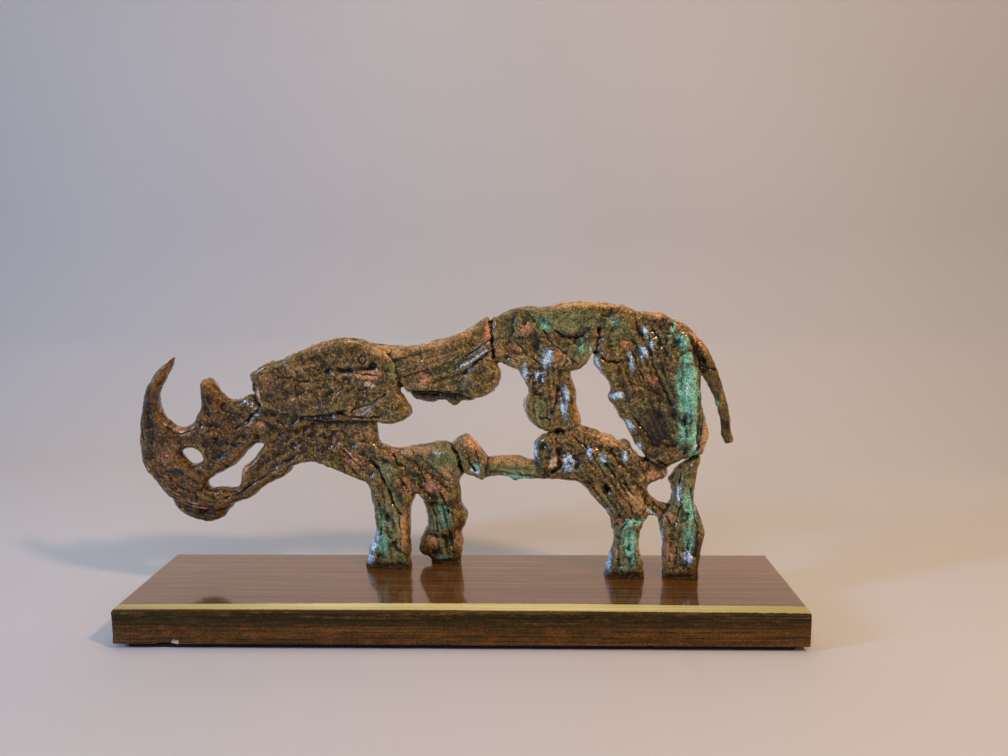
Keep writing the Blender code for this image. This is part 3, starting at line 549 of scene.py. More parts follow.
# %% Smaller marks
FINE_MARKS = {
    "horn_root": dict(width=1.2, depth=1.8, line=[
        (-185, 109.5), (-180.5, 106.5), (-176, 105.4), (-171, 107.5)]),
    "horn_grain": dict(width=0.9, depth=0.7, line=[
        (-196, 141), (-200, 128), (-201.5, 115), (-200, 100)]),
    "horn_inner_grain": dict(width=0.9, depth=0.6, line=[
        (-192, 142), (-195.5, 130), (-196.5, 117), (-192, 106)]),
    "brow_line": dict(width=0.9, depth=1.3, line=[(-161, 106.5), (-157, 108.4), (-151, 106)]),
    "eye_fold": dict(width=0.9, depth=1.2, line=[(-158, 102.5), (-154, 99.5), (-149.5, 101.5)]),
    "cheek_line": dict(width=0.9, depth=1.2, line=[(-148, 100), (-141, 98.6), (-134, 101)]),
    "lip_fold": dict(width=1.1, depth=1.5, line=[(-188, 67), (-180, 62.5), (-170, 60), (-158, 58)]),
    "lip_ridge": dict(width=1.2, depth=-0.9, line=[(-187, 71), (-178, 65.5), (-168, 62), (-156, 61)]),
    "muzzle_line": dict(width=0.9, depth=0.9, line=[(-186, 78), (-178, 71), (-169, 67.5)]),
    "chin_line": dict(width=1.0, depth=1.0, line=[(-181, 58), (-170, 54), (-158, 54)]),
    "jaw_line": dict(width=1.0, depth=1.3, line=[(-150, 65), (-140, 69), (-129, 76), (-118, 83)]),
    "jaw_rim": dict(width=1.2, depth=-0.9, line=[(-141, 75), (-137, 82), (-131, 87)]),
    "small_horn_side": dict(width=0.9, depth=1.0, line=[(-161.5, 136), (-160.4, 126), (-158, 116)]),
    "neck_squiggle": dict(width=0.9, depth=1.8, line=[
        (-106.4, 140.8), (-103.3, 141.4), (-99, 138.6), (-94, 139.7)]),
    "neck_fold": dict(width=1.1, depth=1.7, line=[
        (-75.7, 147), (-67.9, 145.4), (-60.6, 143.8), (-51.2, 143.3)]),
    "neck_scratch": dict(width=0.7, depth=1.0, line=[(-79.5, 130), (-76.2, 132.3), (-73.1, 134.9)]),
    "neck_drag": dict(width=1.1, depth=1.9, line=[
        (-76.2, 119.9), (-64.7, 122.9), (-55.4, 126), (-47, 131.3)]),
    "throat_seam": dict(width=1.5, depth=2.8, line=[
        (-100, 116.5), (-89.8, 117.2), (-84.6, 117.7), (-76.2, 119.3)]),
    "lobe_seam": dict(width=1.1, depth=1.8, line=[(-76, 120), (-66, 117.5), (-58, 117), (-50, 118)]),
    "shoulder_drag": dict(width=1.0, depth=1.5, line=[(1, 154.5), (8, 158.5), (16, 164)]),
    "shoulder_long": dict(width=1.0, depth=1.0, line=[(-40, 141), (-25, 145), (-10, 150), (-2, 154)]),
    "back_drag": dict(width=1.1, depth=1.6, line=[(47.9, 170), (53, 162), (60, 157.5), (66, 152)]),
    "back_front_drag": dict(width=1.1, depth=1.3, line=[(31.4, 164.1), (37.6, 156.9), (46.8, 149.7)]),
    "back_ridge": dict(width=1.4, depth=-1.0, line=[(44, 171), (49, 162), (53, 152)]),
    "rib_line": dict(width=0.9, depth=1.0, line=[(42, 127), (42.6, 119), (45, 114)]),
    "rib_middle_line": dict(width=0.9, depth=1.2, line=[(49.5, 130), (50, 124), (49.6, 119)]),
    "rib_edge_ridge": dict(width=1.3, depth=-0.9, line=[(60.5, 143), (61.5, 132), (62.6, 121)]),
    "haunch_groove": dict(width=1.2, depth=1.9, line=[(99, 158), (101, 151), (105, 143)]),
    "haunch_long_groove": dict(width=1.2, depth=1.8, line=[
        (108, 165), (110, 152), (115, 140), (121, 128)]),
    "haunch_low_groove": dict(width=1.1, depth=1.5, line=[(98, 122), (106, 113), (112, 104)]),
    "band_groove": dict(width=1.2, depth=1.8, line=[(128.5, 121), (129.6, 110), (129, 99)]),
    "band_edge": dict(width=1.1, depth=1.5, line=[(137, 151), (136.6, 136), (137.2, 120), (136, 108)]),
    "lobe_edge": dict(width=1.2, depth=2.0, line=[(138.6, 119), (138, 110), (136, 102)]),
    "rear_seam": dict(width=1.3, depth=2.6, line=[(97, 103), (104, 100), (112, 95), (120, 91)]),
    "rear_drag": dict(width=1.0, depth=1.4, line=[(66, 107), (74, 100), (80, 92), (84, 84)]),
    "rear_short": dict(width=1.0, depth=1.5, line=[(88, 101), (90, 95), (94, 90)]),
    "thigh_drag": dict(width=1.1, depth=1.6, line=[(84, 92), (92, 82), (98, 71), (100, 62)]),
    "shin_line": dict(width=1.0, depth=1.3, line=[(93, 48), (92, 40), (93, 30)]),
    "shin_right_line": dict(width=1.0, depth=1.2, line=[(103, 52), (101.6, 42), (103, 31)]),
    "hind_leg_line": dict(width=1.2, depth=1.8, line=[(128, 90), (126.6, 80), (128, 68), (125, 56)]),
    "hind_leg_edge": dict(width=1.1, depth=1.6, line=[(134, 78), (135, 66), (137.6, 54), (137, 38)]),
    "hock_drag": dict(width=1.0, depth=1.6, line=[(111, 70), (118, 63), (123, 55)]),
    "leg_line": dict(width=1.0, depth=1.5, line=[(-53, 66), (-51, 55), (-52, 44)]),
    "leg_right_line": dict(width=1.0, depth=1.3, line=[(-41, 60), (-39.5, 48), (-40, 34)]),
    "leg_pit_line": dict(width=1.2, depth=1.8, line=[(-48, 57), (-46, 52)]),
    "second_leg_line": dict(width=1.2, depth=2.0, line=[(-20, 62), (-17.6, 54), (-17, 45)]),
    "second_leg_right": dict(width=1.0, depth=1.4, line=[(-8, 58), (-6, 49), (-7, 40)]),
    "toe_seam": dict(width=1.2, depth=1.8, line=[(-29, 41), (-22, 42.5), (-14, 40)]),
    "fore_seam": dict(width=1.2, depth=1.8, line=[(-31, 97), (-29.5, 90), (-26, 84), (-24, 78)]),
    "fore_short": dict(width=1.0, depth=1.4, line=[(-43, 95), (-41, 89), (-36, 86)]),
    "knuckle_line": dict(width=1.0, depth=1.2, line=[(7.5, 98), (9, 92), (11, 85)]),
    "scratch_one": dict(width=0.75, depth=1.4, line=[(-74, 99.5), (-67, 92.2)]),
    "scratch_two": dict(width=0.8, depth=1.6, line=[(-74.2, 95.9), (-63.6, 85.8)]),
    "scratch_three": dict(width=0.75, depth=1.4, line=[(-74.4, 90.2), (-65.4, 81.6)]),
    "scratch_four": dict(width=0.75, depth=1.5, line=[(-65, 92.4), (-60.2, 85.9)]),
    "scratch_five": dict(width=0.75, depth=1.3, line=[(-58.7, 90.4), (-54, 85.3)]),
}

# Round dents: x, z, radius and depth
PITS = {
    "eye": (-154.4, 102.2, 1.5, 1.8),
    "neck_hole": (-54.4, 149.2, 2.0, 1.8),
    "thigh_hole": (85, 76, 2.2, 2.4),
    "rump_hole": (116, 177, 1.8, 1.6),
    "rump_low_hole": (121, 173.6, 1.5, 1.5),
    "knob_hole": (47, 101.5, 2.4, 1.6),
    "leg_hole": (-47.5, 54.5, 1.8, 1.8),
    "shin_hole": (92.6, 59.5, 1.7, 1.5),
    "fore_hole": (-38, 76, 1.8, 1.6),
    "cheek_hole": (-128, 104, 1.6, 1.2),
}

# A ring pressed into the neck: x, z, radius, width and depth
RING = (-60.1, 152.4, 2.1, 0.7, 1.1)

# Streaks where the wax was dragged: centre, half length, half width, direction, spacing and depth
STREAKS = {
    "haunch": dict(at=(111, 132), reach=36, half=16, turn=-68, spacing=2.6, depth=0.75),
    "verdigris_band": dict(at=(130, 128), reach=42, half=8, turn=-88, spacing=4.0, depth=0.35),
    "rump": dict(at=(112, 165), reach=16, half=12, turn=-60, spacing=2.6, depth=0.7),
    "front_leg": dict(at=(-47, 48), reach=32, half=13, turn=-84, spacing=2.8, depth=0.6),
    "second_leg": dict(at=(-14, 48), reach=32, half=13, turn=-80, spacing=2.8, depth=0.7),
    "third_leg": dict(at=(97, 42), reach=26, half=12, turn=-88, spacing=2.6, depth=0.6),
    "fourth_leg": dict(at=(130, 55), reach=40, half=12, turn=-95, spacing=2.6, depth=0.6),
    "thigh": dict(at=(88, 78), reach=28, half=16, turn=-52, spacing=2.8, depth=0.75),
    "knob": dict(at=(52, 95), reach=14, half=10, turn=-80, spacing=2.6, depth=0.6),
    "rib": dict(at=(50, 128), reach=24, half=12, turn=-86, spacing=2.6, depth=0.55),
    "horn": dict(at=(-196, 112), reach=36, half=9, turn=-88, spacing=2.4, depth=0.4),
    "muzzle": dict(at=(-172, 74), reach=30, half=13, turn=-32, spacing=2.6, depth=0.5),
    "neck": dict(at=(-88, 138), reach=34, half=20, turn=14, spacing=3.4, depth=0.45),
    "chest": dict(at=(-98, 98), reach=34, half=16, turn=28, spacing=3.2, depth=0.5),
    "shoulder": dict(at=(-14, 148), reach=38, half=14, turn=16, spacing=3.2, depth=0.6),
    "back": dict(at=(60, 172), reach=42, half=12, turn=6, spacing=3.4, depth=0.45),
    "fore": dict(at=(-30, 84), reach=32, half=16, turn=-40, spacing=3.0, depth=0.6),
    "belly": dict(at=(28, 86), reach=26, half=7, turn=-3, spacing=2.6, depth=0.5),
}
print(len(FINE_MARKS) + len(PITS), "small marks and", len(STREAKS), "streaked places")

# %% [markdown]
# ## Pressing the marks in
#
# All marks are added up as one height for each point of the skin, and each point then moves that
# far along its own direction. The hand-made marks count only where the skin faces forward. The back
# of the figure is plainer: it has the same uneven thumbing, lumps and grain, but no drawn marks.

# %% Move the points of the skin
PRESS_SIZE = 11.0
PRESS_HEIGHT = 0.6
# Size and height of the finer unevenness, from lumps down to casting grain
GRAINS = [(5.5, 0.5), (2.6, 0.15), (1.3, 0.05)]
RIM_GRAIN = (3.1, 0.5)
STREAK_SHARE = 1.7
# Drawn lines wander a little, come and go, and are as narrow as cracks in wax
LINE_WANDER = 0.7
LINE_WANDER_SIZE = 2.6
LINE_FADING_SIZE = 5.0
LINE_WIDTH = 0.55
LINE_DEPTH = 0.75
# Smears of wax laid over each other: size, step, tilt, and width and depth of the line between
SMEARS = dict(size=15.0, step=0.3, tilt=0.05, gap=0.05, depth=0.0, shift=0.0)
# Crumbled places: chips of wax, and where they lie as x, z, half width, half height, turn, strength
CHIPS = dict(size=3.2, step=0.8, tilt=0.25, gap=0.1, depth=0.15, shift=4.4)
CHIP_PLACES = [
    (-92, 106, 22, 10, 10, 0.8), (-60, 92, 8, 8, 0, 0.5), (-72, 139, 14, 6, 0, 0.45),
    (118, 166, 12, 8, -40, 0.9), (44, 142, 8, 6, 0, 0.8), (66, 92, 12, 14, 0, 0.7),
    (92, 100, 16, 7, -30, 0.6), (132, 157, 6, 8, 0, 0.5), (-24, 78, 10, 8, 0, 0.6),
    (114, 66, 6, 6, 0, 0.9), (-150, 112, 16, 8, 0, 0.3), (92, 34, 10, 10, 0, 0.4),
    (128, 40, 10, 12, 0, 0.4), (-52, 56, 8, 10, 0, 0.4), (-130, 128, 5, 9, 0, 0.7)]
# Patches are warped before they are laid, so that their borders aren't straight: size and reach
WARP_SIZE = 4.0
WARP = 1.6
# Smoothly modelled places, and how much of the streaks and grain is missing there
CALM_SHARE = 0.7
CALM_PLACES = [
    (-196, 118, 12, 44, 0, 1.0), (-186, 78, 22, 22, 0, 0.8), (-88, 140, 42, 22, 8, 0.85),
    (-16, 152, 34, 14, 12, 0.7), (58, 172, 44, 16, 0, 0.8), (131, 130, 8, 40, 0, 0.8),
    (150, 125, 8, 34, 0, 0.9), (28, 86, 26, 8, 0, 0.6), (48, 122, 12, 14, 0, 0.5),
    (-14, 92, 16, 10, 0, 0.6), (-42, 46, 12, 26, 0, 0.5), (108, 118, 16, 22, 0, 0.6)]
# The soles are hollowed at the front: depth and height, and where that ends. Its line is ragged.
UNDERCUT = (1.8, 4.0, 23.6)
UNDERCUT_RAGGED = 1.2
UNDERCUT_SIZE = 6.0


def read_points(mesh, name="co"):
    """Positions or normals of a mesh's points as rows."""
    flat = np.empty(len(mesh.vertices) * 3)
    mesh.vertices.foreach_get(name, flat)
    return flat.reshape(-1, 3)


def soft_noise(spots, size, shift=0.0):
    """Random heights from about -1 to 1 in lumps of the given size."""
    return np.array([noise.noise(Vector(spot)) for spot in spots / size + shift])


def turned(flat, at, turn):
    """Coordinates along and across a direction through a centre."""
    away = flat - np.array(at, float)
    c, s = math.cos(math.radians(turn)), math.sin(math.radians(turn))
    return away @ np.array([c, s]), away @ np.array([-s, c])


def line_wander(spots):
    """Sideways drift that makes drawn lines ragged."""
    return np.stack([soft_noise(spots, LINE_WANDER_SIZE, shift) for shift in (11.5, 23.1)], axis=1)


def line_fading(spots):
    """How much of a drawn line is left at each place."""
    return np.clip(0.75 + 0.9 * soft_noise(spots, LINE_FADING_SIZE, 31.7), 0.15, 1.2)


def patch_height(spots, size, step, tilt, gap, depth, shift):
    """Height of smeared patches: each one tilted its own way, with thin gaps between."""
    height = np.empty(len(spots))
    for i, spot in enumerate(spots / size + shift):
        (near, next_near, *_), (centre, *_) = noise.voronoi(Vector(spot))
        lift = noise.cell(centre * 7.7)
        lean = noise.cell_vector(centre * 5.3) - Vector((0.5, 0.5, 0.5))
        slope = lean.dot(Vector(spot) - centre) * size * tilt
        height[i] = step * (lift - 0.5) + slope - depth * math.exp(-((next_near - near) / gap) ** 2)
    return height


def spot_strength(flat, places):
    """How strongly each point belongs to a list of soft spots."""
    strength = np.zeros(len(flat))
    for x, z, width, height, turn, amount in places:
        along, across = turned(flat, (x, z), turn)
        strength = np.maximum(strength, amount * np.exp(-(along / width) ** 2 - (across / height) ** 2))
    return strength


def streak_height(flat, at, reach, half, turn, spacing, depth):
    """Height of one streaked place, fading out round its rim."""
    along, across = turned(flat, at, turn)
    weight = np.exp(-((along / reach) ** 2 + (across / half) ** 2) ** 2)
    height = np.zeros(len(flat))
    near = weight > 0.03
    spots = np.stack([along[near] / 7, across[near], np.full(near.sum(), reach)], axis=1)
    height[near] = depth * weight[near] * soft_noise(spots, spacing)
    return height


spots = read_points(figure.data)
outward = read_points(figure.data, "normal")
facing = np.clip(-outward[:, 1], 0, 1)
flat = spots[:, [0, 2]]
drawn = np.zeros(len(spots))
wander = line_wander(spots)
fading = line_fading(spots)
for mark in [*CREASES.values(), *FINE_MARKS.values()]:
    gap = line_distance(flat + LINE_WANDER * wander, mark["line"])
    drawn -= LINE_DEPTH * fading * mark["depth"] * np.exp(-(gap / mark["width"] / LINE_WIDTH) ** 1.3)
for x, z, radius, height in LUMPS.values():
    drawn += height * np.exp(-(np.hypot(flat[:, 0] - x, flat[:, 1] - z) / radius) ** 2)
for x, z, radius, depth in PITS.values():
    drawn -= depth * np.exp(-(np.hypot(flat[:, 0] - x, flat[:, 1] - z) / radius) ** 2)
ring_x, ring_z, ring_radius, ring_width, ring_depth = RING
ring_gap = np.hypot(flat[:, 0] - ring_x, flat[:, 1] - ring_z) - ring_radius
drawn -= ring_depth * np.exp(-(ring_gap / ring_width) ** 2)
liveliness = 1 - CALM_SHARE * spot_strength(flat, CALM_PLACES)
for streaks in STREAKS.values():
    drawn += STREAK_SHARE * liveliness * streak_height(flat, **streaks)
push = drawn * facing + PRESS_HEIGHT * soft_noise(spots, PRESS_SIZE)
for size, height in GRAINS:
    push += height * liveliness * soft_noise(spots, size, 7.3)
push += RIM_GRAIN[1] * soft_noise(spots, RIM_GRAIN[0], 3.1) * (1 - np.abs(outward[:, 1]))
warp = [soft_noise(spots, WARP_SIZE, shift) for shift in (41.0, 47.0, 53.0)]
warped = spots + WARP * np.stack(warp, axis=1)
push += (0.4 + 0.6 * facing) * patch_height(warped, **SMEARS)
chipped = spot_strength(flat, CHIP_PLACES)
near = chipped > 0.05
push[near] += (facing * chipped)[near] * patch_height(warped[near], **CHIPS)
spots += push[:, None] * outward
cut_depth, cut_height, cut_low = UNDERCUT
ragged = UNDERCUT_RAGGED * soft_noise(spots, UNDERCUT_SIZE, 61.0)
below = np.clip((cut_low + cut_height + ragged - spots[:, 2]) / cut_height, 0, 1)
spots[:, 1] += cut_depth * facing * below
figure.data.vertices.foreach_set("co", spots.ravel())
figure.data.update()
print("marks move the skin by", round(push.min(), 2), "to", round(push.max(), 2), "mm")

# %% [markdown]
# ## Soles, scale and face count
#
# The feet are cut flat where they stand on the board. The figure is drawn in millimetres, and a
# Blender scene counts in metres, so the cut skin is scaled down once, here. A decimate modifier then
# takes out faces where the skin is nearly flat and keeps them in the cracks.

# %% Cut the soles and set the figure in place
FIGURE_FACES = 186000
DRAWN_SOLE = 22.3
SLIVER = 0.02
SEAT = 0.05


def thin_out(item, faces):
    """Bring a skin down to the wanted face count."""
    triangles = sum(len(face.vertices) - 2 for face in item.data.polygons)
    decimate = item.modifiers.new("thin_out", "DECIMATE")
    decimate.ratio = min(1.0, faces / triangles)
    decimate.use_collapse_triangulate = True
    bake(item)


thin_out(figure, FIGURE_FACES)
low, high = (np.array(corner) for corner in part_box("rhinoceros"))
board_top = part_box("base_plank")[1][2]
skin = bmesh.new()
skin.from_mesh(figure.data)
cut = bmesh.ops.bisect_plane(skin, geom=skin.verts[:] + skin.edges[:] + skin.faces[:],
                             plane_co=(0, 0, DRAWN_SOLE), plane_no=(0, 0, 1), clear_inner=True)
rim = [part for part in cut["geom_cut"] if isinstance(part, bmesh.types.BMEdge)]
bmesh.ops.holes_fill(skin, edges=rim, sides=0)
bmesh.ops.dissolve_degenerate(skin, dist=SLIVER, edges=skin.edges)
bmesh.ops.triangulate(skin, faces=skin.faces)
skin.to_mesh(figure.data)
skin.free()
spots = read_points(figure.data)
soles = spots[:, 2] < DRAWN_SOLE + SLIVER
spots = np.clip(spots * MM, low, high)
spots[soles, 2] = board_top + SEAT * MM
figure.data.vertices.foreach_set("co", spots.ravel())
figure.data.update()
figure.data.shade_smooth()
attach(figure, "root")
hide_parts("rhinoceros")
print("figure:", len(figure.data.polygons), "triangles")

# %% [markdown]
# ## Where the patina and the painted light and shade change
#
# The colours were brushed and sprayed onto the hot bronze, so each sits in its own soft-edged
# place: verdigris down the haunch and low on the legs, ochre along the top edges, copper where the
# metal was rubbed. Some spots are painted light and shade: the ochre on the top edges is also
# painted warm light from above, the pale lines on rims and seams are painted highlights, the
# blue-white spots are painted reflections of the window, and the umber under the rims, in the
# folds and at the soles is also painted shade. They could be painted into an image, but an image
# has to be unwrapped onto the skin. Here each colour is a list of soft spots in millimetres, and
# the script writes how strongly each point of the skin takes that colour. The cracks and folds
# get painted shade along their lines. The material breaks the spots up into mottles later.

# %% Soft spots of patina and of painted light and shade: x, z, half width, half height, turn and strength
PATINA = {
    "moss": [
        (-46.2, 84.5, 6, 5.4, 0, 1.2), (-12, 92, 12, 11, 0, 1.1), (3, 93, 4, 7, 0, 0.6),
        (28, 87, 22, 6, -2, 1.2), (58, 176, 36, 9, 0, 0.95), (30, 171, 10, 13, 0, 0.7),
        (70, 158, 13, 9, 0, 0.8), (92, 170, 11, 11, 0, 0.75), (46, 121, 8, 13, 0, 0.8),
        (135.4, 127, 3.2, 28, 1, 1.1), (-15, 50, 10, 18, 0, 1.15), (-45, 46, 10, 28, 0, 1.3),
        (121, 128, 7, 28, 0, 0.6), (108, 162, 14, 10, 0, 0.6), (-18, 92, 14, 8, 0, 0.6),
        (-42, 68, 8, 10, 0, 0.7), (131, 64, 9, 28, 0, 1.1), (97, 40, 11, 17, 0, 1.2),
        (86, 68, 7, 12, 45, 0.6), (104, 122, 16, 20, 0, 0.5), (-112, 149, 16, 3.4, 26, 0.8),
        (-84, 120, 18, 5, 6, 0.5), (-42, 147, 9, 7, 0, 0.85), (-4, 149, 16, 8, 15, 0.6),
        (2, 138, 18, 6, 6, 0.5), (-198, 106, 6, 28, 0, 0.45), (-90, 137, 16, 7, 0, 0.3),
        (121, 166, 8, 7, 0, 0.75), (-30, 160, 14, 4, 0, 0.3)],
    # Ochre: patina, and along the top edges and upper faces also painted warm light from above
    "ochre_and_top_light": [
        (-45, 157, 18, 5, -6, 0.95), (-85, 160, 16, 4, 10, 0.6), (-20, 161, 18, 4, 6, 0.9),
        (2, 168, 12, 4, 22, 0.8), (62, 185.5, 44, 2.4, 0, 1.1), (118, 178, 14, 3.6, -24, 1.1),
        (136, 165, 3.4, 12, 38, 0.9), (141, 108, 3.4, 15, 0, 1.1), (5, 102.5, 7, 4.4, -30, 1.1),
        (25, 91.5, 17, 3, 0, 0.9), (-30, 97, 20, 4, 0, 0.85), (-120, 141, 9, 7, 20, 0.6),
        (-100, 147, 16, 6, 12, 0.6), (-196, 132, 4, 13, -18, 0.6), (-160, 136, 4, 4, 0, 0.5),
        (-18, 152, 22, 7, 12, 0.65), (68, 120, 2.6, 16, 6, 0.8), (-115, 92, 14, 8, 25, 0.35),
        (59, 154, 6, 5, 0, 1.1), (81.3, 74.9, 4, 7, 42, 0.9), (101.1, 70.5, 5, 9, 36, 1.2),
        (110.6, 86.8, 9, 4, 24, 0.9), (85, 106, 13, 4, -16, 0.9), (122.9, 40, 4, 9, 0, 0.8),
        (105, 41, 2.4, 9, 0, 0.8), (-6, 41.4, 3.4, 9, 10, 0.9), (-38, 48, 4, 16, 0, 0.95),
        (-10, 82, 5, 9, 0, 0.9), (-20, 38, 4, 6, 0, 0.8), (-70, 150, 12, 5, 5, 0.45),
        (24, 158, 6, 6, 0, 0.6), (-46, 60, 3, 12, 20, 0.6), (37, 123, 2, 8, 0, 0.9),
        (-62, 104, 10, 9, 0, 0.6), (-148, 99, 12, 5, 20, 0.3), (-64, 122, 14, 5, 12, 0.45)],
    "verdigris": [
        (121.1, 171.2, 1.8, 6, -20, 1.0), (126.5, 164.5, 5, 7, 20, 0.8),
        (128.9, 155.3, 3.4, 3.4, 0, 1.3), (132.7, 147.3, 3, 3.6, 0, 1.3),
        (130, 135, 7.4, 18, 2, 1.35), (127.4, 113, 4.5, 14, 0, 0.75), (133.6, 107, 4, 13, 0, 1.2),
        (88.9, 175, 6, 4, -20, 0.55), (49, 173, 3, 6, 25, 0.8), (133, 67, 4.5, 11, 10, 1.1),
        (133, 48, 4.5, 10, 0, 1.0), (101.4, 57, 7, 2.6, 15, 1.1), (99, 44, 5, 12, 6, 1.1),
        (97, 50, 7, 4, 0, 0.7), (-14.4, 61, 5, 6, 0, 0.65), (-12, 53, 5, 6, 0, 0.7),
        (-51, 38, 5, 11, 0, 0.8), (-50, 54, 4, 9, 0, 0.7), (82, 94, 2.6, 7, 20, 0.7),
        (28, 81.2, 18, 2.4, 0, 1.1), (8, 87, 4, 5, 0, 0.8), (70, 161, 3, 6, 0, 0.8),
        # The last spot on the next line, at x 9 and z 159, is a painted glint in the verdigris colour
        (143.5, 143, 2, 12, 20, 0.7), (148.4, 122, 1.4, 18, 6, 0.7), (9, 159, 9, 2.6, 36, 0.6),
        (-12, 128.5, 15, 2, 0, 0.6), (96, 29, 8, 4, 0, 0.5), (-15, 27, 9, 4, 0, 0.7),
        (-56, 31, 3, 6, 0, 0.6), (127, 76, 3, 10, 0, 0.6), (0, 104, 3, 3, 0, 0.5),
        (118, 48, 2, 12, 0, 0.6), (45, 102, 3, 4, 0, 0.6), (-56, 60, 2.4, 12, 0, 0.6)],
    # Umber: dark patina on the horn, head and tail, and painted shade under the slab rims, in the folds
    # and along the soles
    "umber_and_painted_shade": [
        (-53.4, 149.8, 2.4, 2, 0, 1.1), (-62, 148, 9, 3, 0, 0.6), (-86, 116.6, 18, 2.4, 3, 1.0),
        (-12, 129, 19, 3.4, 0, 1.0), (47, 101, 4, 5, 0, 0.7), (112, 112, 14, 18, 0, 0.85),
        (121, 126, 4, 22, 0, 0.7), (112, 138, 12, 12, 0, 0.5), (84, 77, 2.6, 5, 20, 1.1),
        (118, 175.6, 3, 5, 30, 0.9), (-148, 100, 15, 8, 10, 0.6), (-165, 112, 6, 8, 0, 0.5),
        (-166, 52, 15, 5, 0, 1.0), (-40, 70, 3, 8, 30, 0.7), (-197, 124, 8, 34, 0, 0.7),
        (-159, 127, 5, 11, 0, 0.65), (135.6, 156.5, 3, 5, 0, 1.2), (145, 142, 4, 12, 18, 1.2),
        (-22, 31, 6, 8, 0, 1.0), (139, 34, 3.4, 14, 0, 0.9), (118, 92, 12, 3.4, 20, 0.85),
        (-63, 128, 10, 6, 20, 0.35), (-112, 104, 8, 9, 0, 0.4), (152, 114, 3, 16, 8, 1.2),
        (-20, 66, 4, 8, 0, 0.8), (-136, 70, 20, 4, 30, 0.5), (43, 134, 3, 3, 0, 0.9),
        (62, 166.4, 9, 1.8, 0, 0.9), (126, 54, 5, 6, 0, 0.5), (128.4, 118, 2.2, 5, 0, 0.9),
        (131, 103, 2, 5, 0, 0.8), (-48, 23.6, 13, 2.0, 0, 1.9), (-14, 23.6, 12, 2.0, 0, 1.9),
        (97, 23.8, 13, 2.2, 0, 1.9), (131, 23.8, 13, 2.2, 0, 1.9), (113, 99, 10, 3, 25, 0.9),
        (-49, 57, 3.6, 3, 0, 0.8), (-124, 118, 7, 2.4, 30, 0.9)],
    "copper": [
        (-57, 143, 9, 2.4, 3, 1.4), (-72, 143, 5, 1.6, 0, 0.8), (-22.6, 140.2, 6, 5, 0, 0.85),
        (-36, 146, 4, 3, 0, 0.6), (10, 162, 3, 4, 0, 0.7), (15, 169, 2.6, 7, 0, 1.1),
        (94.1, 163, 3.4, 3.6, 0, 0.85), (109.7, 141.8, 6, 4, 0, 0.75),
        (101.3, 137.6, 4, 3, 0, 0.75), (37.6, 171.5, 4.6, 4.6, 0, 0.95),
        (79.5, 168, 2.2, 3, 0, 1.0), (30, 161, 4, 5, 0, 0.6), (-19.4, 75.7, 5, 7, 35, 0.95),
        (-11, 68, 2, 7, 25, 0.9), (-20.5, 37, 2.4, 5, 15, 1.2), (-6, 43, 4, 3, 0, 1.1),
        (-3, 36, 2.6, 6, 0, 0.7), (-43, 94, 8, 5, 0, 0.55), (-68, 91, 9, 6, -40, 0.8),
        (57, 92, 2, 5, 0, 1.0), (-186, 92, 8, 8, 10, 0.6), (-154.4, 107, 5, 2.4, 0, 0.5),
        (-176, 107, 6, 2.2, -22, 1.0), (-137, 83, 3, 6, -30, 0.9), (-170, 60, 15, 2.2, -14, 0.7),
        (-124.4, 113, 5, 3, 20, 0.95), (122, 38, 4, 9, 0, 0.7), (95, 70, 6, 9, 40, 0.5),
        (112, 85, 6, 3, 20, 0.7), (-30, 152, 8, 4, 12, 0.4), (76, 100, 4, 3, -20, 0.7),
        (91, 39, 3, 3, 0, 0.8), (90, 57, 2.4, 2.4, 0, 0.9), (122, 60, 6, 4, -30, 0.8),
        (-160, 138, 3, 2.4, 0, 0.6), (-80, 104, 10, 5, 0, 0.5), (8, 100, 3, 3, -30, 0.8),
        (-96, 128, 12, 6, 0, 0.35), (-50, 112, 4, 8, 0, 0.5), (-108, 140, 9, 4, 0, 0.35),
        (66, 106, 6, 3, 0, 0.6), (-35, 77, 4, 8, 30, 0.6)],
    # Pale: mostly painted highlights along lit rims, seams and ridges, and a few pale patina patches
    # such as the one on the knob
    "pale": [
        (-56.2, 137.6, 3.6, 2, -20, 1.2), (-78.3, 143.2, 2, 1.6, 0, 0.75),
        (-102.4, 128.1, 2.2, 1.4, 30, 0.9), (-100, 124.3, 1.8, 1.2, 0, 0.8),
        (-124.6, 131, 0.9, 7, 6, 1.0), (-126.4, 122.6, 5, 0.9, 28, 1.1),
        (53.9, 91.2, 2.8, 3.8, 0, 1.3), (-131, 144.5, 3, 1, 30, 0.7),
        (-40.8, 143.1, 2.6, 1.2, 20, 0.6), (-66, 163.6, 10, 0.9, 0, 0.6),
        (-170, 61.5, 12, 0.7, -14, 0.6), (-133, 111, 5, 0.8, 30, 0.7), (-48, 92, 4, 1.2, 0, 0.5),
        (-24, 99, 8, 1.2, 0, 0.6), (112.5, 80, 5, 1.2, 10, 0.8), (90, 179, 3, 2, 0, 0.5),
        (-75, 100, 2.4, 1.6, 0, 0.7), (-88, 104, 2, 1.4, 0, 0.6), (-66, 110, 1.8, 1.4, 0, 0.6)],
    # Blue-white glints: painted reflections of the cool window on the facets that face it
    "painted_window_glints": [
        (106.4, 170, 1.8, 4, 10, 1.0), (109.9, 162.6, 2.2, 3, 0, 1.1),
        (105.5, 157.9, 3, 3.6, 0, 1.1), (98.2, 152, 1.5, 6.5, 8, 1.2),
        (90.5, 132.7, 5, 1.7, 15, 1.5), (62.8, 91.4, 4, 6, 0, 1.1), (74.9, 97.8, 1.6, 4, 15, 1.1),
        (95.9, 96.8, 1.8, 3.6, -10, 1.2), (98.2, 115.7, 1.8, 3.8, 30, 1.3),
        (104.1, 102.8, 1.5, 2.4, 20, 1.1), (134.6, 103, 2.2, 2.4, 0, 1.1),
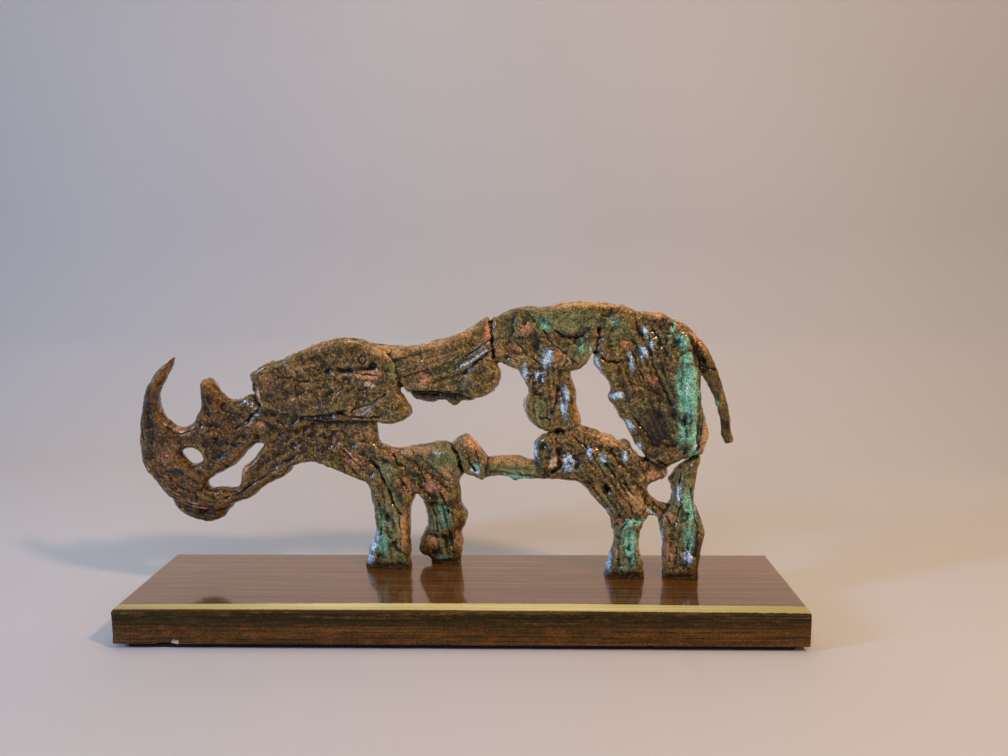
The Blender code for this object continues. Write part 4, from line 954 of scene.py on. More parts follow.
        (126.5, 75.4, 1.7, 5, 0, 1.2), (132.7, 37.1, 2.8, 3.6, -20, 1.4), (86.7, 32, 2, 8, -8, 1.1),
        (118.4, 44, 1.4, 10, 0, 0.9), (-54.4, 43.9, 1.5, 5, 0, 1.1), (-56.9, 37, 2.6, 3, 0, 1.3),
        (-59, 29, 3, 4.6, 0, 1.2), (7.1, 85.7, 3, 1.6, -30, 1.2), (60.4, 128, 2.4, 10, -3, 1.2),
        (50.5, 153, 3.4, 7, -8, 1.2), (45, 142.5, 3.4, 3, 0, 1.0), (37, 146, 2.4, 6, 0, 0.9),
        (36.6, 124, 1, 9, 0, 1.0), (79, 151.5, 1.3, 7, 20, 1.1), (76, 158, 1.2, 4, 0, 0.8),
        (-194.4, 139.6, 1, 3, -20, 1.3), (-163.8, 131, 0.8, 7, 0, 0.8),
        (-129.8, 138, 0.9, 6, 0, 0.7), (5, 152, 11, 0.9, 36, 1.0), (12, 156.5, 8, 0.8, 36, 0.9),
        (-60, 120.5, 13, 0.8, 30, 0.7), (83, 94, 2.2, 4, 20, 0.8), (43, 97, 1.8, 7, 0, 1.0),
        (130, 138, 1.2, 8, 0, 0.8), (119, 84, 2, 2.4, 0, 0.9), (112, 62, 5, 1.4, -40, 1.0),
        (-16, 96, 5, 1.2, 0, 0.7), (86, 62, 2.6, 2, 0, 0.9), (133, 124, 1, 10, 0, 0.6)],
}
WANDER_SIZE = 6.0
WANDER = 1.6
# Cracks and folds get painted shade: its width as a share of the mark's, and the mark depth at which it
# is fully dark
CREASE_SHADE_WIDTH = 0.6
CREASE_SHADE_FULL = 2.2


def write_value(mesh, name, values):
    """Keep one number for each point of a mesh, for a material to read."""
    mesh.attributes.new(name, "FLOAT", "POINT").data.foreach_set("value", values)


spots = read_points(figure.data) / MM
drift = np.stack([soft_noise(spots, WANDER_SIZE, 1.7), soft_noise(spots, WANDER_SIZE, 9.2)], axis=1)
flat = spots[:, [0, 2]] + WANDER * drift
for name, places in PATINA.items():
    write_value(figure.data, name, spot_strength(flat, places))
flat = spots[:, [0, 2]] + LINE_WANDER * line_wander(spots)
crease_shade = np.zeros(len(spots))
for mark in [*CREASES.values(), *FINE_MARKS.values()]:
    if mark["depth"] > 0:
        gap = line_distance(flat, mark["line"]) / mark["width"] / CREASE_SHADE_WIDTH
        crease_shade = np.maximum(crease_shade, min(1.0, mark["depth"] / CREASE_SHADE_FULL) * np.exp(-gap ** 2))
write_value(figure.data, "crease_shade", crease_shade * line_fading(spots))
print("patina spots:", {name: len(places) for name, places in PATINA.items()})

# %% [markdown]
# ## Hollows and worn ridges
#
# On old bronze, dirt and dark patina stay in the hollows and hands polish the ridges. The mesh
# knows which is which: a point that lies below the average of its neighbours is in a hollow, and
# one above it is on a ridge. Averaging again and again widens what counts as a neighbour. The
# result is one more number for each point.

# %% Measure hollows
HOLLOW_ROUNDS = {"hollow": 14, "nick": 2}
HOLLOW_DEPTH = {"hollow": 0.42, "nick": 0.07}


def neighbour_average(points, pairs, rounds):
    """Positions after each point has moved to its neighbours' average a few times."""
    count = np.bincount(pairs.ravel(), minlength=len(points))[:, None]
    for step in range(rounds):
        total = np.zeros_like(points)
        for axis in range(3):
            total[:, axis] += np.bincount(pairs[:, 0], points[pairs[:, 1], axis], len(points))
            total[:, axis] += np.bincount(pairs[:, 1], points[pairs[:, 0], axis], len(points))
        points = total / np.maximum(count, 1)
    return points


edges = np.empty(len(figure.data.edges) * 2, dtype=np.int32)
figure.data.edges.foreach_get("vertices", edges)
edges = edges.reshape(-1, 2)
outward = read_points(figure.data, "normal")
for name, rounds in HOLLOW_ROUNDS.items():
    below = ((neighbour_average(spots, edges, rounds) - spots) * outward).sum(axis=1)
    share = np.clip(0.5 + below / HOLLOW_DEPTH[name] / 2, 0, 1)
    write_value(figure.data, name, share)
    print(name, "spread:", np.percentile(share, [5, 50, 95]).round(2))

# %% [markdown]
# ## Cast bronze with a chemical patina under gloss lacquer
#
# Bronze is copper with some tin. After casting, its skin is rough like fine sand. The patina is a
# thin crust of copper salts, which is a matt colour and no metal, so most of the surface is only
# slightly metallic and the rubbed ridges and copper spots are more so. The lacquer is a clear coat:
# it gives the eye small bright glints on every bump over dark, rich colours. It has flowed out a
# little before it dried, so it gets a bump of its own, wider and rounder than the metal's.

# %% The bronze
# Each tint: dark and light colour, how far the noise carries it past its spot, and its cover
TINTS = {
    "moss": ("#1d2612", "#7d8453", 1.3, 0.85),
    # ochre is patina and, on the top edges, painted warm light from above
    "ochre_and_top_light": ("#5f4222", "#c49a62", 1.6, 0.8),
    "verdigris": ("#153d31", "#84cfae", 1.4, 0.92),
    # umber is dark patina and also painted shade under rims, in folds and at the soles
    "umber_and_painted_shade": ("#0b0703", "#2a1d0e", 1.4, 0.85),
    "copper": ("#6e3f22", "#d99c70", 1.8, 0.8),
    # pale is mostly painted highlight on lit rims and seams, partly pale patina
    "pale": ("#8c7558", "#d6bf9f", 1.0, 0.9),
    # The blue-white glints are painted reflections of the window
    "painted_window_glints": ("#2a5068", "#cdeeff", 3.2, 0.9),
}
# A spot is lighter in its middle, where the patina was brushed on thickest and where a painted glint or
# highlight is brightest
BUILD_UP = 0.35
# The head had less patina than the body, so the bronze turns browner along the neck
BROWN_FROM = -0.06
BROWN_TO = -0.15
MOTTLE_SIZE = 5.0
SPECK_SIZE = 1.5
SAND_SIZE = 0.8
GLINT_SIZE = 2.0


def patinated_cast_bronze():
    """Bronze with mottled patina colours, painted glints, highlights and shade, dark hollows, rubbed
    ridges and a lacquer coat.
    """
    material, tree, shader = new_material("patinated_cast_bronze")
    place = add_node(tree, "ShaderNodeTexCoord").outputs["Object"]
    mottle = add_node(tree, "ShaderNodeTexNoise", {
        "Vector": place, "Scale": per_mm(MOTTLE_SIZE), "Detail": 6.0, "Roughness": 0.7})
    speck = add_node(tree, "ShaderNodeTexNoise", {
        "Vector": place, "Scale": per_mm(SPECK_SIZE), "Detail": 5.0, "Roughness": 0.75})
    sand = add_node(tree, "ShaderNodeTexNoise", {
        "Vector": place, "Scale": per_mm(SAND_SIZE), "Detail": 2.0, "Roughness": 0.6})
    glint = add_node(tree, "ShaderNodeTexNoise", {
        "Vector": place, "Scale": per_mm(GLINT_SIZE), "Detail": 1.0, "Roughness": 0.5})
    mottles = add_node(tree, "ShaderNodeSeparateColor", {"Color": mottle.outputs["Color"]})
    specks = add_node(tree, "ShaderNodeSeparateColor", {"Color": speck.outputs["Color"]})
    patterns = [mottles.outputs[1], mottles.outputs[2], mottles.outputs[0], mottles.outputs[1],
                specks.outputs[0], specks.outputs[1], specks.outputs[0]]

    half = add_node(tree, "ShaderNodeMath", {0: specks.outputs[2], 1: 0.7}, operation="MULTIPLY")
    blend = add_node(tree, "ShaderNodeMath", {
        0: mottle.outputs[0], 1: 0.3, 2: half.outputs[0]}, operation="MULTIPLY_ADD").outputs[0]
    colour = add_node(tree, "ShaderNodeValToRGB", {0: blend}, stops=[
        (0.36, "#110d05"), (0.45, "#42371a"), (0.54, "#7b6736"), (0.64, "#bba366")]).outputs[0]
    brown = add_node(tree, "ShaderNodeValToRGB", {0: blend}, stops=[
        (0.36, "#0d0702"), (0.45, "#33220b"), (0.54, "#6b4b1d"), (0.64, "#a58347")]).outputs[0]
    lengthwise = add_node(tree, "ShaderNodeSeparateXYZ", {0: place}).outputs["X"]
    ahead = add_node(tree, "ShaderNodeMapRange", {
        "Value": lengthwise, "From Min": BROWN_FROM, "From Max": BROWN_TO, "To Min": 0.0,
        "To Max": 1.0}).outputs[0]
    colour = add_node(tree, "ShaderNodeMix", {0: ahead, 6: colour, 7: brown},
                      data_type="RGBA").outputs[2]
    rubbed = None
    for pattern, (name, (dark, light, ragged, cover)) in zip(patterns, TINTS.items()):
        weight = add_node(tree, "ShaderNodeAttribute", attribute_name=name).outputs["Fac"]
        centred = add_node(tree, "ShaderNodeMath", {0: pattern, 1: 0.5}, operation="SUBTRACT")
        reach = add_node(tree, "ShaderNodeMath", {
            0: centred.outputs[0], 1: ragged, 2: weight}, operation="MULTIPLY_ADD")
        mask = add_node(tree, "ShaderNodeMapRange", {
            "Value": reach.outputs[0], "From Min": 0.28, "From Max": 0.66, "To Min": 0.0,
            "To Max": cover}).outputs[0]
        thick = add_node(tree, "ShaderNodeMath", {
            0: weight, 1: BUILD_UP, 2: specks.outputs[2]}, operation="MULTIPLY_ADD").outputs[0]
        tint = add_node(tree, "ShaderNodeValToRGB", {0: thick}, stops=[
            (0.36 + BUILD_UP / 2, dark), (0.66 + BUILD_UP / 2, light)]).outputs[0]
        colour = add_node(tree, "ShaderNodeMix", {0: mask, 6: colour, 7: tint},
                          data_type="RGBA").outputs[2]
        if name == "copper":
            rubbed = mask

    hollow = add_node(tree, "ShaderNodeAttribute", attribute_name="hollow").outputs["Fac"]
    nick = add_node(tree, "ShaderNodeAttribute", attribute_name="nick").outputs["Fac"]
    dirt = add_node(tree, "ShaderNodeMapRange", {
        "Value": hollow, "From Min": 0.62, "From Max": 1.0, "To Min": 0.0, "To Max": 0.85}).outputs[0]
    colour = add_node(tree, "ShaderNodeMix", {0: dirt, 6: colour, 7: linear("#0d0804")},
                      data_type="RGBA").outputs[2]
    ridge = add_node(tree, "ShaderNodeMapRange", {
        "Value": hollow, "From Min": 0.35, "From Max": 0.0, "To Min": 0.0, "To Max": 0.15}).outputs[0]
    colour = add_node(tree, "ShaderNodeMix", {0: ridge, 6: colour, 7: linear("#a8864f")},
                      data_type="RGBA").outputs[2]
    # Painted shade along the cracks and folds, darker where the mark is deeper
    crease_shade = add_node(tree, "ShaderNodeAttribute", attribute_name="crease_shade").outputs["Fac"]
    inside = add_node(tree, "ShaderNodeMapRange", {
        "Value": crease_shade, "From Min": 0.25, "From Max": 0.8, "To Min": 0.0, "To Max": 0.93}).outputs[0]
    colour = add_node(tree, "ShaderNodeMix", {0: inside, 6: colour, 7: linear("#080402")},
                      data_type="RGBA").outputs[2]
    shade = add_node(tree, "ShaderNodeMapRange", {
        "Value": nick, "From Min": 0.1, "From Max": 0.9, "To Min": 1.3, "To Max": 0.6}).outputs[0]
    sparkle = add_node(tree, "ShaderNodeMapRange", {
        "Value": sand.outputs[0], "From Min": 0.3, "From Max": 0.7, "To Min": 0.25,
        "To Max": 1.85}).outputs[0]
    value = add_node(tree, "ShaderNodeMath", {0: shade, 1: sparkle}, operation="MULTIPLY").outputs[0]
    colour = add_node(tree, "ShaderNodeHueSaturation", {
        "Color": colour, "Value": value}).outputs[0]

    metal = add_node(tree, "ShaderNodeMath", {0: ridge, 1: rubbed}, operation="MAXIMUM").outputs[0]
    metallic = add_node(tree, "ShaderNodeMapRange", {
        "Value": metal, "From Min": 0.0, "From Max": 1.0, "To Min": 0.1, "To Max": 0.6}).outputs[0]
    rough = add_node(tree, "ShaderNodeMapRange", {
        "Value": speck.outputs[0], "From Min": 0.35, "From Max": 0.65, "To Min": 0.35,
        "To Max": 0.6}).outputs[0]
    grain = add_node(tree, "ShaderNodeBump", {
        "Height": speck.outputs[0], "Strength": 0.5, "Distance": 0.4 * MM})
    wet = add_node(tree, "ShaderNodeBump", {
        "Height": glint.outputs[0], "Strength": 0.6, "Distance": 0.8 * MM})
    tree.links.new(colour, shader.inputs["Base Color"])
    tree.links.new(metallic, shader.inputs["Metallic"])
    tree.links.new(rough, shader.inputs["Roughness"])
    tree.links.new(grain.outputs[0], shader.inputs["Normal"])
    tree.links.new(wet.outputs[0], shader.inputs["Coat Normal"])
    shader.inputs["Specular IOR Level"].default_value = 0.1
    shader.inputs["Coat Weight"].default_value = 1.0
    shader.inputs["Coat IOR"].default_value = 1.4
    shader.inputs["Coat Roughness"].default_value = 0.05
    return material


figure.data.materials.clear()
figure.data.materials.append(patinated_cast_bronze())
print("bronze nodes:", len(figure.data.materials[0].node_tree.nodes))

# %% [markdown]
# ## The board
#
# The base is a length of dressed softwood, 89 by 19 mm, planed with slightly eased edges. A plain
# box would have knife edges, which no real board has, and no points to dent. So the skin is made as
# six sheets of small squares, close together near the edges. Every point that lies nearer to an
# edge than the easing is then pulled onto a quarter circle. The front top edge is worn down to
# bare wood, and a few knocks are pressed in where the photo shows them.

# %% Skin of a block
# All in millimetres; the pitch is that of the squares along the length, depth and thickness
BOARD_EASE = 0.5
BOARD_PITCH = (1.6, 1.4, 1.0)
EASE_STEPS = 4
WORN_WIDTH = 3.2
WORN_DROP = 1.0
WORN_REACH = 2.0


def spaced_marks(low, high, ease, steps, coarse):
    """Places along one side, close together within the easing and wider between."""
    edge = np.linspace(0, ease, steps, endpoint=False)
    middle = np.linspace(low + ease, high - ease, max(2, round((high - low) / coarse)))
    return np.concatenate([low + edge, middle, (high - edge)[::-1]])


def block_skin(marks):
    """Points and squares of a block's skin, shared where its six sheets meet."""
    known = {}
    squares = []
    last = [len(places) - 1 for places in marks]
    for axis, (u, v) in enumerate([(1, 2), (2, 0), (0, 1)]):
        for side in (0, last[axis]):
            for i in range(last[u]):
                for j in range(last[v]):
                    ring = []
                    for right, up in ((0, 0), (1, 0), (1, 1), (0, 1)):
                        key = [side, side, side]
                        key[u] = i + right
                        key[v] = j + up
                        ring.append(known.setdefault(tuple(key), len(known)))
                    squares.append(ring if side else ring[::-1])
    points = np.array([[marks[axis][key[axis]] for axis in range(3)] for key in known])
    return points, squares


def ease_edges(points, ease):
    """Pull the points near an edge onto a quarter circle."""
    inner = np.clip(points, points.min(axis=0) + ease, points.max(axis=0) - ease)
    away = points - inner
    reach = np.linalg.norm(away, axis=1, keepdims=True)
    return np.where(reach > NO_LENGTH, inner + away / np.maximum(reach, NO_LENGTH) * ease, points)

# %% The board's shape
# Knocks: x, y, z on the board, radius and depth in millimetres
KNOCKS = [
    (-163, -44.5, 3.4, 3.2, 1.1), (-158.5, -44.5, 3.2, 2.4, 0.9), (-190.5, -44.5, 15.5, 1.6, 0.7),
    (-190.5, -44.5, 11.5, 1.5, 0.6), (-190.5, -44.5, 8.0, 1.6, 0.6),
    (-190.5, -44.5, 18.8, 1.4, 0.5), (190.5, -44.5, 20.4, 1.4, 0.5),
    (-172.5, -36.5, 22, 2.2, 0.35), (104, -44.5, 3.2, 1.8, 0.4), (190.5, 20, 22, 2.2, 0.5),
    (-60, 44.5, 22, 2.0, 0.4), (70, 44.5, 3.2, 2.4, 0.5)]
WEAR_SIZE = 24.0
WEAR_HEIGHT = 0.16
STREAK_HEIGHT = 0.05
STREAK_SIZE = 1.8
GRAIN_STRETCH = 9

low, high = (np.array(corner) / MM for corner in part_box("base_plank"))
marks = [spaced_marks(low[axis], high[axis], BOARD_EASE, EASE_STEPS, coarse)
         for axis, coarse in enumerate(BOARD_PITCH)]
points, squares = block_skin(marks)
points = ease_edges(points, BOARD_EASE)
front_edge = low[1]
share = np.clip((front_edge + WORN_WIDTH - points[:, 1]) / WORN_WIDTH, 0, 1) ** 2
upper = points[:, 2] > high[2] - WORN_REACH
points[:, 2] -= WORN_DROP * share * upper
middle = (low + high) / 2
inward = middle - points
near_end = np.abs(points[:, 0]) > high[0] - BOARD_EASE
inward[:, 0] = np.sign(inward[:, 0]) * near_end
inward /= np.maximum(np.linalg.norm(inward, axis=1, keepdims=True), NO_LENGTH)
for x, y, z, radius, depth in KNOCKS:
    gap = np.linalg.norm(points - (x, y, z), axis=1)
    points += inward * (depth * np.exp(-(gap / radius) ** 2))[:, None]
long_grain = points * (1 / GRAIN_STRETCH, 1, 1)
grain_drop = STREAK_HEIGHT * np.clip(soft_noise(long_grain, STREAK_SIZE), 0, 1)
points += inward * grain_drop[:, None]
wear_drop = WEAR_HEIGHT * np.clip(soft_noise(points, WEAR_SIZE), 0, 1)
points += inward * wear_drop[:, None] * share[:, None]
points = np.clip(points, low, high)
wood = bpy.data.meshes.new("pine_board")
wood.from_pydata((points * MM).tolist(), [], squares)
board = link_object("pine_board", wood)
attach(board, "root")
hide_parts("base_plank")
print("board:", len(squares), "squares,", (high - low).round(1), "mm")

# %% [markdown]
# ## Stained pine under gloss varnish
#
# A tree adds a light and a dark ring each year, and a board shows a slice through them: lines on
# the long faces and arcs on the ends. So the grain is made in the solid: the colour follows the
# distance from the tree's middle, which lies below the board, and it fits on every face. The dark
# stain has sunk into the soft wood between the rings. The varnish on the top was poured on thick
# and mirrors the feet. On the sides it is thin and the stain is blotchy and darker above, so they
# get a second material from the same function. Lower down the sides turn browner, which is a
# painted warm reflection from below. Along the worn edge the pale bare wood shows as a strip, and
# it has no varnish left. One knock on the front has broken out a chip.

# %% The wood
# Sizes in millimetres. The tree's middle is a place in metres, as the shader reads places.
RING_SPACING = 1.5
RING_WAVER = 60
RING_WAVER_REACH = 4
HEART = (0.0, 0.016, -0.062)
FIBRE_LENGTH = 60.0
FIBRE_WIDTH = 0.45
BROAD_STREAK = 2.6
# Blotches on the sides: the heights between which they grow to full cover, the part of the noise
# that makes them, their colour and their full cover. Dark stain lies above; the browner colour
# below is a painted warm reflection from the surface below the board.
BLOTCH_SIZE = 3.4
BLOTCH_STRETCH = 0.22
BLOTCHES = [(12.5, 17.5, 0.40, 0.52, "#25220d", 1.0), (16.5, 12.0, 0.47, 0.62, "#7c4c22", 0.6)]
SPECKLE_SIZE = 0.9
# The worn strip: how far its inner and outer rim lie behind the front face, first and last, and
# between which places along the board they change. It ends below at a height.
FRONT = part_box("base_plank")[0][1]
STRIP_INNER = (12.8, 10.2)
STRIP_INNER_RUN = (60, 190)
STRIP_OUTER = (4.1, 2.3)
STRIP_OUTER_RUN = (0, 185)
STRIP_LOWEST = (20.6, 20.9)
STRIP_RAGGED = 1.6
STRIP_RAGGED_SIZE = 4.0
# The bare spot that a knock left on the front, in metres, and its rim's nearest and farthest reach
CHIPPED_SPOT = (-0.156, FRONT, 0.0034)
CHIP_RIM = (7, 6.2)
CHIP_RAGGED = 9


def stained_pine(name, shine, coat_ior, coat_roughness, blotched, speckled, tints):
    """Dark stained softwood, with the worn pale strip along the front top edge."""
    material, tree, shader = new_material(name)
    place = add_node(tree, "ShaderNodeTexCoord").outputs["Object"]
    flat = add_node(tree, "ShaderNodeVectorMath", {0: place, 1: (0.0, 1.0, 1.0)}, operation="MULTIPLY")
    waver = add_node(tree, "ShaderNodeTexNoise", {
        "Vector": place, "Scale": per_mm(RING_WAVER), "Detail": 2.0})
    away = add_node(tree, "ShaderNodeVectorMath", {0: flat.outputs[0], 1: HEART}, operation="DISTANCE")
    ring = add_node(tree, "ShaderNodeMath", {
        0: waver.outputs[0], 1: RING_WAVER_REACH * MM, 2: away.outputs["Value"]},
        operation="MULTIPLY_ADD")
    rings = add_node(tree, "ShaderNodeTexNoise", {
        "W": ring.outputs[0], "Scale": per_mm(RING_SPACING), "Detail": 3.0, "Roughness": 0.6},
        noise_dimensions="1D")
    long_way = add_node(tree, "ShaderNodeVectorMath", {
        0: place, 1: (FIBRE_WIDTH / FIBRE_LENGTH, 1.0, 1.0)}, operation="MULTIPLY")
    fibre = add_node(tree, "ShaderNodeTexNoise", {
        "Vector": long_way.outputs[0], "Scale": per_mm(FIBRE_WIDTH * 1.6), "Detail": 5.0,
        "Roughness": 0.7})
    broad = add_node(tree, "ShaderNodeTexNoise", {
        "Vector": long_way.outputs[0], "Scale": per_mm(BROAD_STREAK), "Detail": 3.0, "Roughness": 0.6})
    ring_share = add_node(tree, "ShaderNodeMapRange", {
        "Value": rings.outputs[0], "From Min": 0.0, "From Max": 1.0, "To Min": 0.16,
        "To Max": 0.44})
    mixed = add_node(tree, "ShaderNodeMath", {
        0: fibre.outputs[0], 1: 0.8, 2: ring_share.outputs[0]}, operation="MULTIPLY_ADD")
    stain = add_node(tree, "ShaderNodeValToRGB", {0: mixed.outputs[0]}, stops=[
        (0.5, "#0f0903"), (0.66, tints[0]), (0.78, tints[1]), (0.95, tints[2])]).outputs[0]
    height = add_node(tree, "ShaderNodeSeparateXYZ", {0: place})
    # Browner streaks low on the sides: a painted warm reflection from the surface below
    painted_low_reflection = add_node(tree, "ShaderNodeMapRange", {
        "Value": height.outputs["Z"], "From Min": 0.016, "From Max": 0.007, "To Min": 0.0,
        "To Max": 0.1}).outputs[0]
    glow = add_node(tree, "ShaderNodeMath", {
        0: broad.outputs[0], 1: painted_low_reflection}, operation="ADD").outputs[0]
    streak = add_node(tree, "ShaderNodeMapRange", {
        "Value": glow, "From Min": 0.56, "From Max": 0.82, "To Min": 0.0, "To Max": 0.45}).outputs[0]
    colour = add_node(tree, "ShaderNodeMix", {0: streak, 6: stain, 7: linear("#7a4a1e")},
                      data_type="RGBA").outputs[2]
    drawn_out = add_node(tree, "ShaderNodeVectorMath", {
        0: place, 1: (BLOTCH_STRETCH, 1.0, 1.0)}, operation="MULTIPLY")
    blotch = add_node(tree, "ShaderNodeTexNoise", {
        "Vector": drawn_out.outputs[0], "Scale": per_mm(BLOTCH_SIZE), "Detail": 4.0,
        "Roughness": 0.7})
    for start, full, faint, solid, tint, cover in BLOTCHES:
        zone = add_node(tree, "ShaderNodeMapRange", {
            "Value": height.outputs["Z"], "From Min": start * MM, "From Max": full * MM,
            "To Min": 0.0, "To Max": blotched}).outputs[0]
        patch = add_node(tree, "ShaderNodeMapRange", {
            "Value": blotch.outputs[0], "From Min": faint, "From Max": solid, "To Min": 0.0,
            "To Max": cover}).outputs[0]
        share = add_node(tree, "ShaderNodeMath", {0: zone, 1: patch}, operation="MULTIPLY").outputs[0]
        colour = add_node(tree, "ShaderNodeMix", {0: share, 6: colour, 7: linear(tint)},
                          data_type="RGBA").outputs[2]
    speckle = add_node(tree, "ShaderNodeTexNoise", {
        "Vector": place, "Scale": per_mm(SPECKLE_SIZE), "Detail": 3.0, "Roughness": 0.8})
    bright = add_node(tree, "ShaderNodeMapRange", {
        "Value": speckle.outputs[0], "From Min": 0.38, "From Max": 0.62, "To Min": 1.0 - speckled,
        "To Max": 1.0 + 1.3 * speckled}).outputs[0]
    colour = add_node(tree, "ShaderNodeHueSaturation", {"Color": colour, "Value": bright}).outputs[0]

    ragged = add_node(tree, "ShaderNodeTexNoise", {
        "Vector": place, "Scale": per_mm(STRIP_RAGGED_SIZE), "Detail": 4.0, "Roughness": 0.75})
    rim = add_node(tree, "ShaderNodeMath", {
        0: ragged.outputs[0], 1: STRIP_RAGGED * MM, 2: height.outputs["Y"]}, operation="MULTIPLY_ADD")
    ends = add_node(tree, "ShaderNodeMath", {0: height.outputs["X"]}, operation="ABSOLUTE")
    inner_rim = add_node(tree, "ShaderNodeMapRange", {
        "Value": ends.outputs[0], "From Min": STRIP_INNER_RUN[0] * MM,
        "From Max": STRIP_INNER_RUN[1] * MM,
        "To Min": FRONT + STRIP_INNER[0] * MM, "To Max": FRONT + STRIP_INNER[1] * MM}).outputs[0]
    outer_rim = add_node(tree, "ShaderNodeMapRange", {
        "Value": height.outputs["X"], "From Min": STRIP_OUTER_RUN[0] * MM,
        "From Max": STRIP_OUTER_RUN[1] * MM,
        "To Min": FRONT + STRIP_OUTER[0] * MM, "To Max": FRONT + STRIP_OUTER[1] * MM}).outputs[0]
    sides = []
    for first, second in ((inner_rim, rim.outputs[0]), (rim.outputs[0], outer_rim)):
        gap = add_node(tree, "ShaderNodeMath", {0: first, 1: second}, operation="SUBTRACT")
        sides.append(add_node(tree, "ShaderNodeMapRange", {
            "Value": gap.outputs[0], "From Min": -0.2 * MM, "From Max": 0.2 * MM,
            "To Min": 0.0, "To Max": 1.0}).outputs[0])
    across = add_node(tree, "ShaderNodeMath", {
        0: sides[0], 1: sides[1]}, operation="MULTIPLY").outputs[0]
    above = add_node(tree, "ShaderNodeMapRange", {
        "Value": height.outputs["Z"], "From Min": STRIP_LOWEST[0] * MM,
        "From Max": STRIP_LOWEST[1] * MM, "To Min": 0.0, "To Max": 1.0}).outputs[0]
    worn = add_node(tree, "ShaderNodeMath", {0: across, 1: above}, operation="MULTIPLY").outputs[0]
    pale = add_node(tree, "ShaderNodeValToRGB", {0: fibre.outputs[0]}, stops=[
        (0.35, "#aea95c"), (0.6, "#e2de9e")]).outputs[0]
    greener = add_node(tree, "ShaderNodeMapRange", {
        "Value": ends.outputs[0], "From Min": 0.08, "From Max": 0.19, "To Min": 0.0,
        "To Max": 0.6}).outputs[0]
    pale = add_node(tree, "ShaderNodeMix", {0: greener, 6: pale, 7: linear("#8c8a45")},
                    data_type="RGBA").outputs[2]
    colour = add_node(tree, "ShaderNodeMix", {0: worn, 6: colour, 7: pale}, data_type="RGBA").outputs[2]
    to_chip = add_node(tree, "ShaderNodeVectorMath", {0: place, 1: CHIPPED_SPOT}, operation="DISTANCE")
    chip_rim = add_node(tree, "ShaderNodeMath", {
        0: ragged.outputs[0], 1: CHIP_RAGGED * MM, 2: to_chip.outputs["Value"]},
        operation="MULTIPLY_ADD")
    chip = add_node(tree, "ShaderNodeMapRange", {
        "Value": chip_rim.outputs[0], "From Min": CHIP_RIM[0] * MM, "From Max": CHIP_RIM[1] * MM,
        "To Min": 0.0, "To Max": 0.9}).outputs[0]
    colour = add_node(tree, "ShaderNodeMix", {0: chip, 6: colour, 7: linear("#cdc8b8")},
                      data_type="RGBA").outputs[2]
    coat = add_node(tree, "ShaderNodeMapRange", {
        "Value": worn, "From Min": 0.0, "From Max": 1.0, "To Min": shine, "To Max": 0.0}).outputs[0]
    ripple = add_node(tree, "ShaderNodeBump", {
        "Height": fibre.outputs[0], "Strength": 0.12, "Distance": 0.2 * MM})
    swell = add_node(tree, "ShaderNodeBump", {
        "Height": broad.outputs[0], "Strength": 0.08, "Distance": 0.5 * MM})
    tree.links.new(colour, shader.inputs["Base Color"])
    tree.links.new(ripple.outputs[0], shader.inputs["Normal"])
    tree.links.new(swell.outputs[0], shader.inputs["Coat Normal"])
    shader.inputs["Roughness"].default_value = 0.35
    shader.inputs["Specular IOR Level"].default_value = 0.1
    tree.links.new(coat, shader.inputs["Coat Weight"])
    shader.inputs["Coat IOR"].default_value = coat_ior
    shader.inputs["Coat Roughness"].default_value = coat_roughness
    return material


wood.materials.append(stained_pine(
    "varnished_pine_top", shine=0.85, coat_ior=1.6, coat_roughness=0.05, blotched=0.0,
    speckled=0.22, tints=("#4a3015", "#6b4a22", "#8a6532")))
wood.materials.append(stained_pine(
    "varnished_pine_sides", shine=0.12, coat_ior=1.5, coat_roughness=0.3, blotched=0.85,
    speckled=0.4, tints=("#3a2a11", "#5a421c", "#86652f")))
# The worn front edge slopes, and what slopes more than this belongs to the sides
FLATTEST_SLOPE = 0.985
for face in wood.polygons:
    face.material_index = 0 if face.normal.z > FLATTEST_SLOPE else 1
wood.shade_smooth()
print("top faces:", sum(face.material_index == 0 for face in wood.polygons))

# %% [markdown]
# ## The felt
#
# A sheet of black wool felt keeps the board from scratching the table. Its near-black colour is
# also painted shade: it stands for the shade in the narrow gap under the board. It stops short of
# the board's ends, so a dark gap shows there. Felt is pressed fibre with no weave. It could be a
# flat box, but scissors leave a slightly wavy edge and its rim is soft, so it is made from the
# same kind of skin as the board, with its rim rounded and pushed in and out a little.

# %% The felt sheet
FELT_ROUND = 1.1
FELT_STEPS = 3
FELT_PITCH = (2.0, 2.0, 0.5)
FELT_WAVE = 0.5
FELT_WAVE_SIZE = 14.0
FIBRE_SIZE = 0.6


def black_felt_and_painted_shade():
    """Pressed black wool, whose near-black is also painted shade under the board: deep, soft and
    without shine.
    """
    material, tree, shader = new_material("black_felt_and_painted_shade")
    place = add_node(tree, "ShaderNodeTexCoord").outputs["Object"]
    fuzz = add_node(tree, "ShaderNodeTexNoise", {
        "Vector": place, "Scale": per_mm(FIBRE_SIZE), "Detail": 4.0, "Roughness": 0.8})
    # Near black: the felt's colour and painted shade of the gap under the board
    tint = add_node(tree, "ShaderNodeValToRGB", {0: fuzz.outputs[0]}, stops=[
        (0.35, "#030303"), (0.7, "#161413")])
    nap = add_node(tree, "ShaderNodeBump", {
        "Height": fuzz.outputs[0], "Strength": 0.8, "Distance": 0.4 * MM})
    tree.links.new(tint.outputs[0], shader.inputs["Base Color"])
    tree.links.new(nap.outputs[0], shader.inputs["Normal"])
    shader.inputs["Roughness"].default_value = 1.0
    shader.inputs["Specular IOR Level"].default_value = 0.1
    shader.inputs["Sheen Weight"].default_value = 0.15
    shader.inputs["Sheen Roughness"].default_value = 0.6
    return material


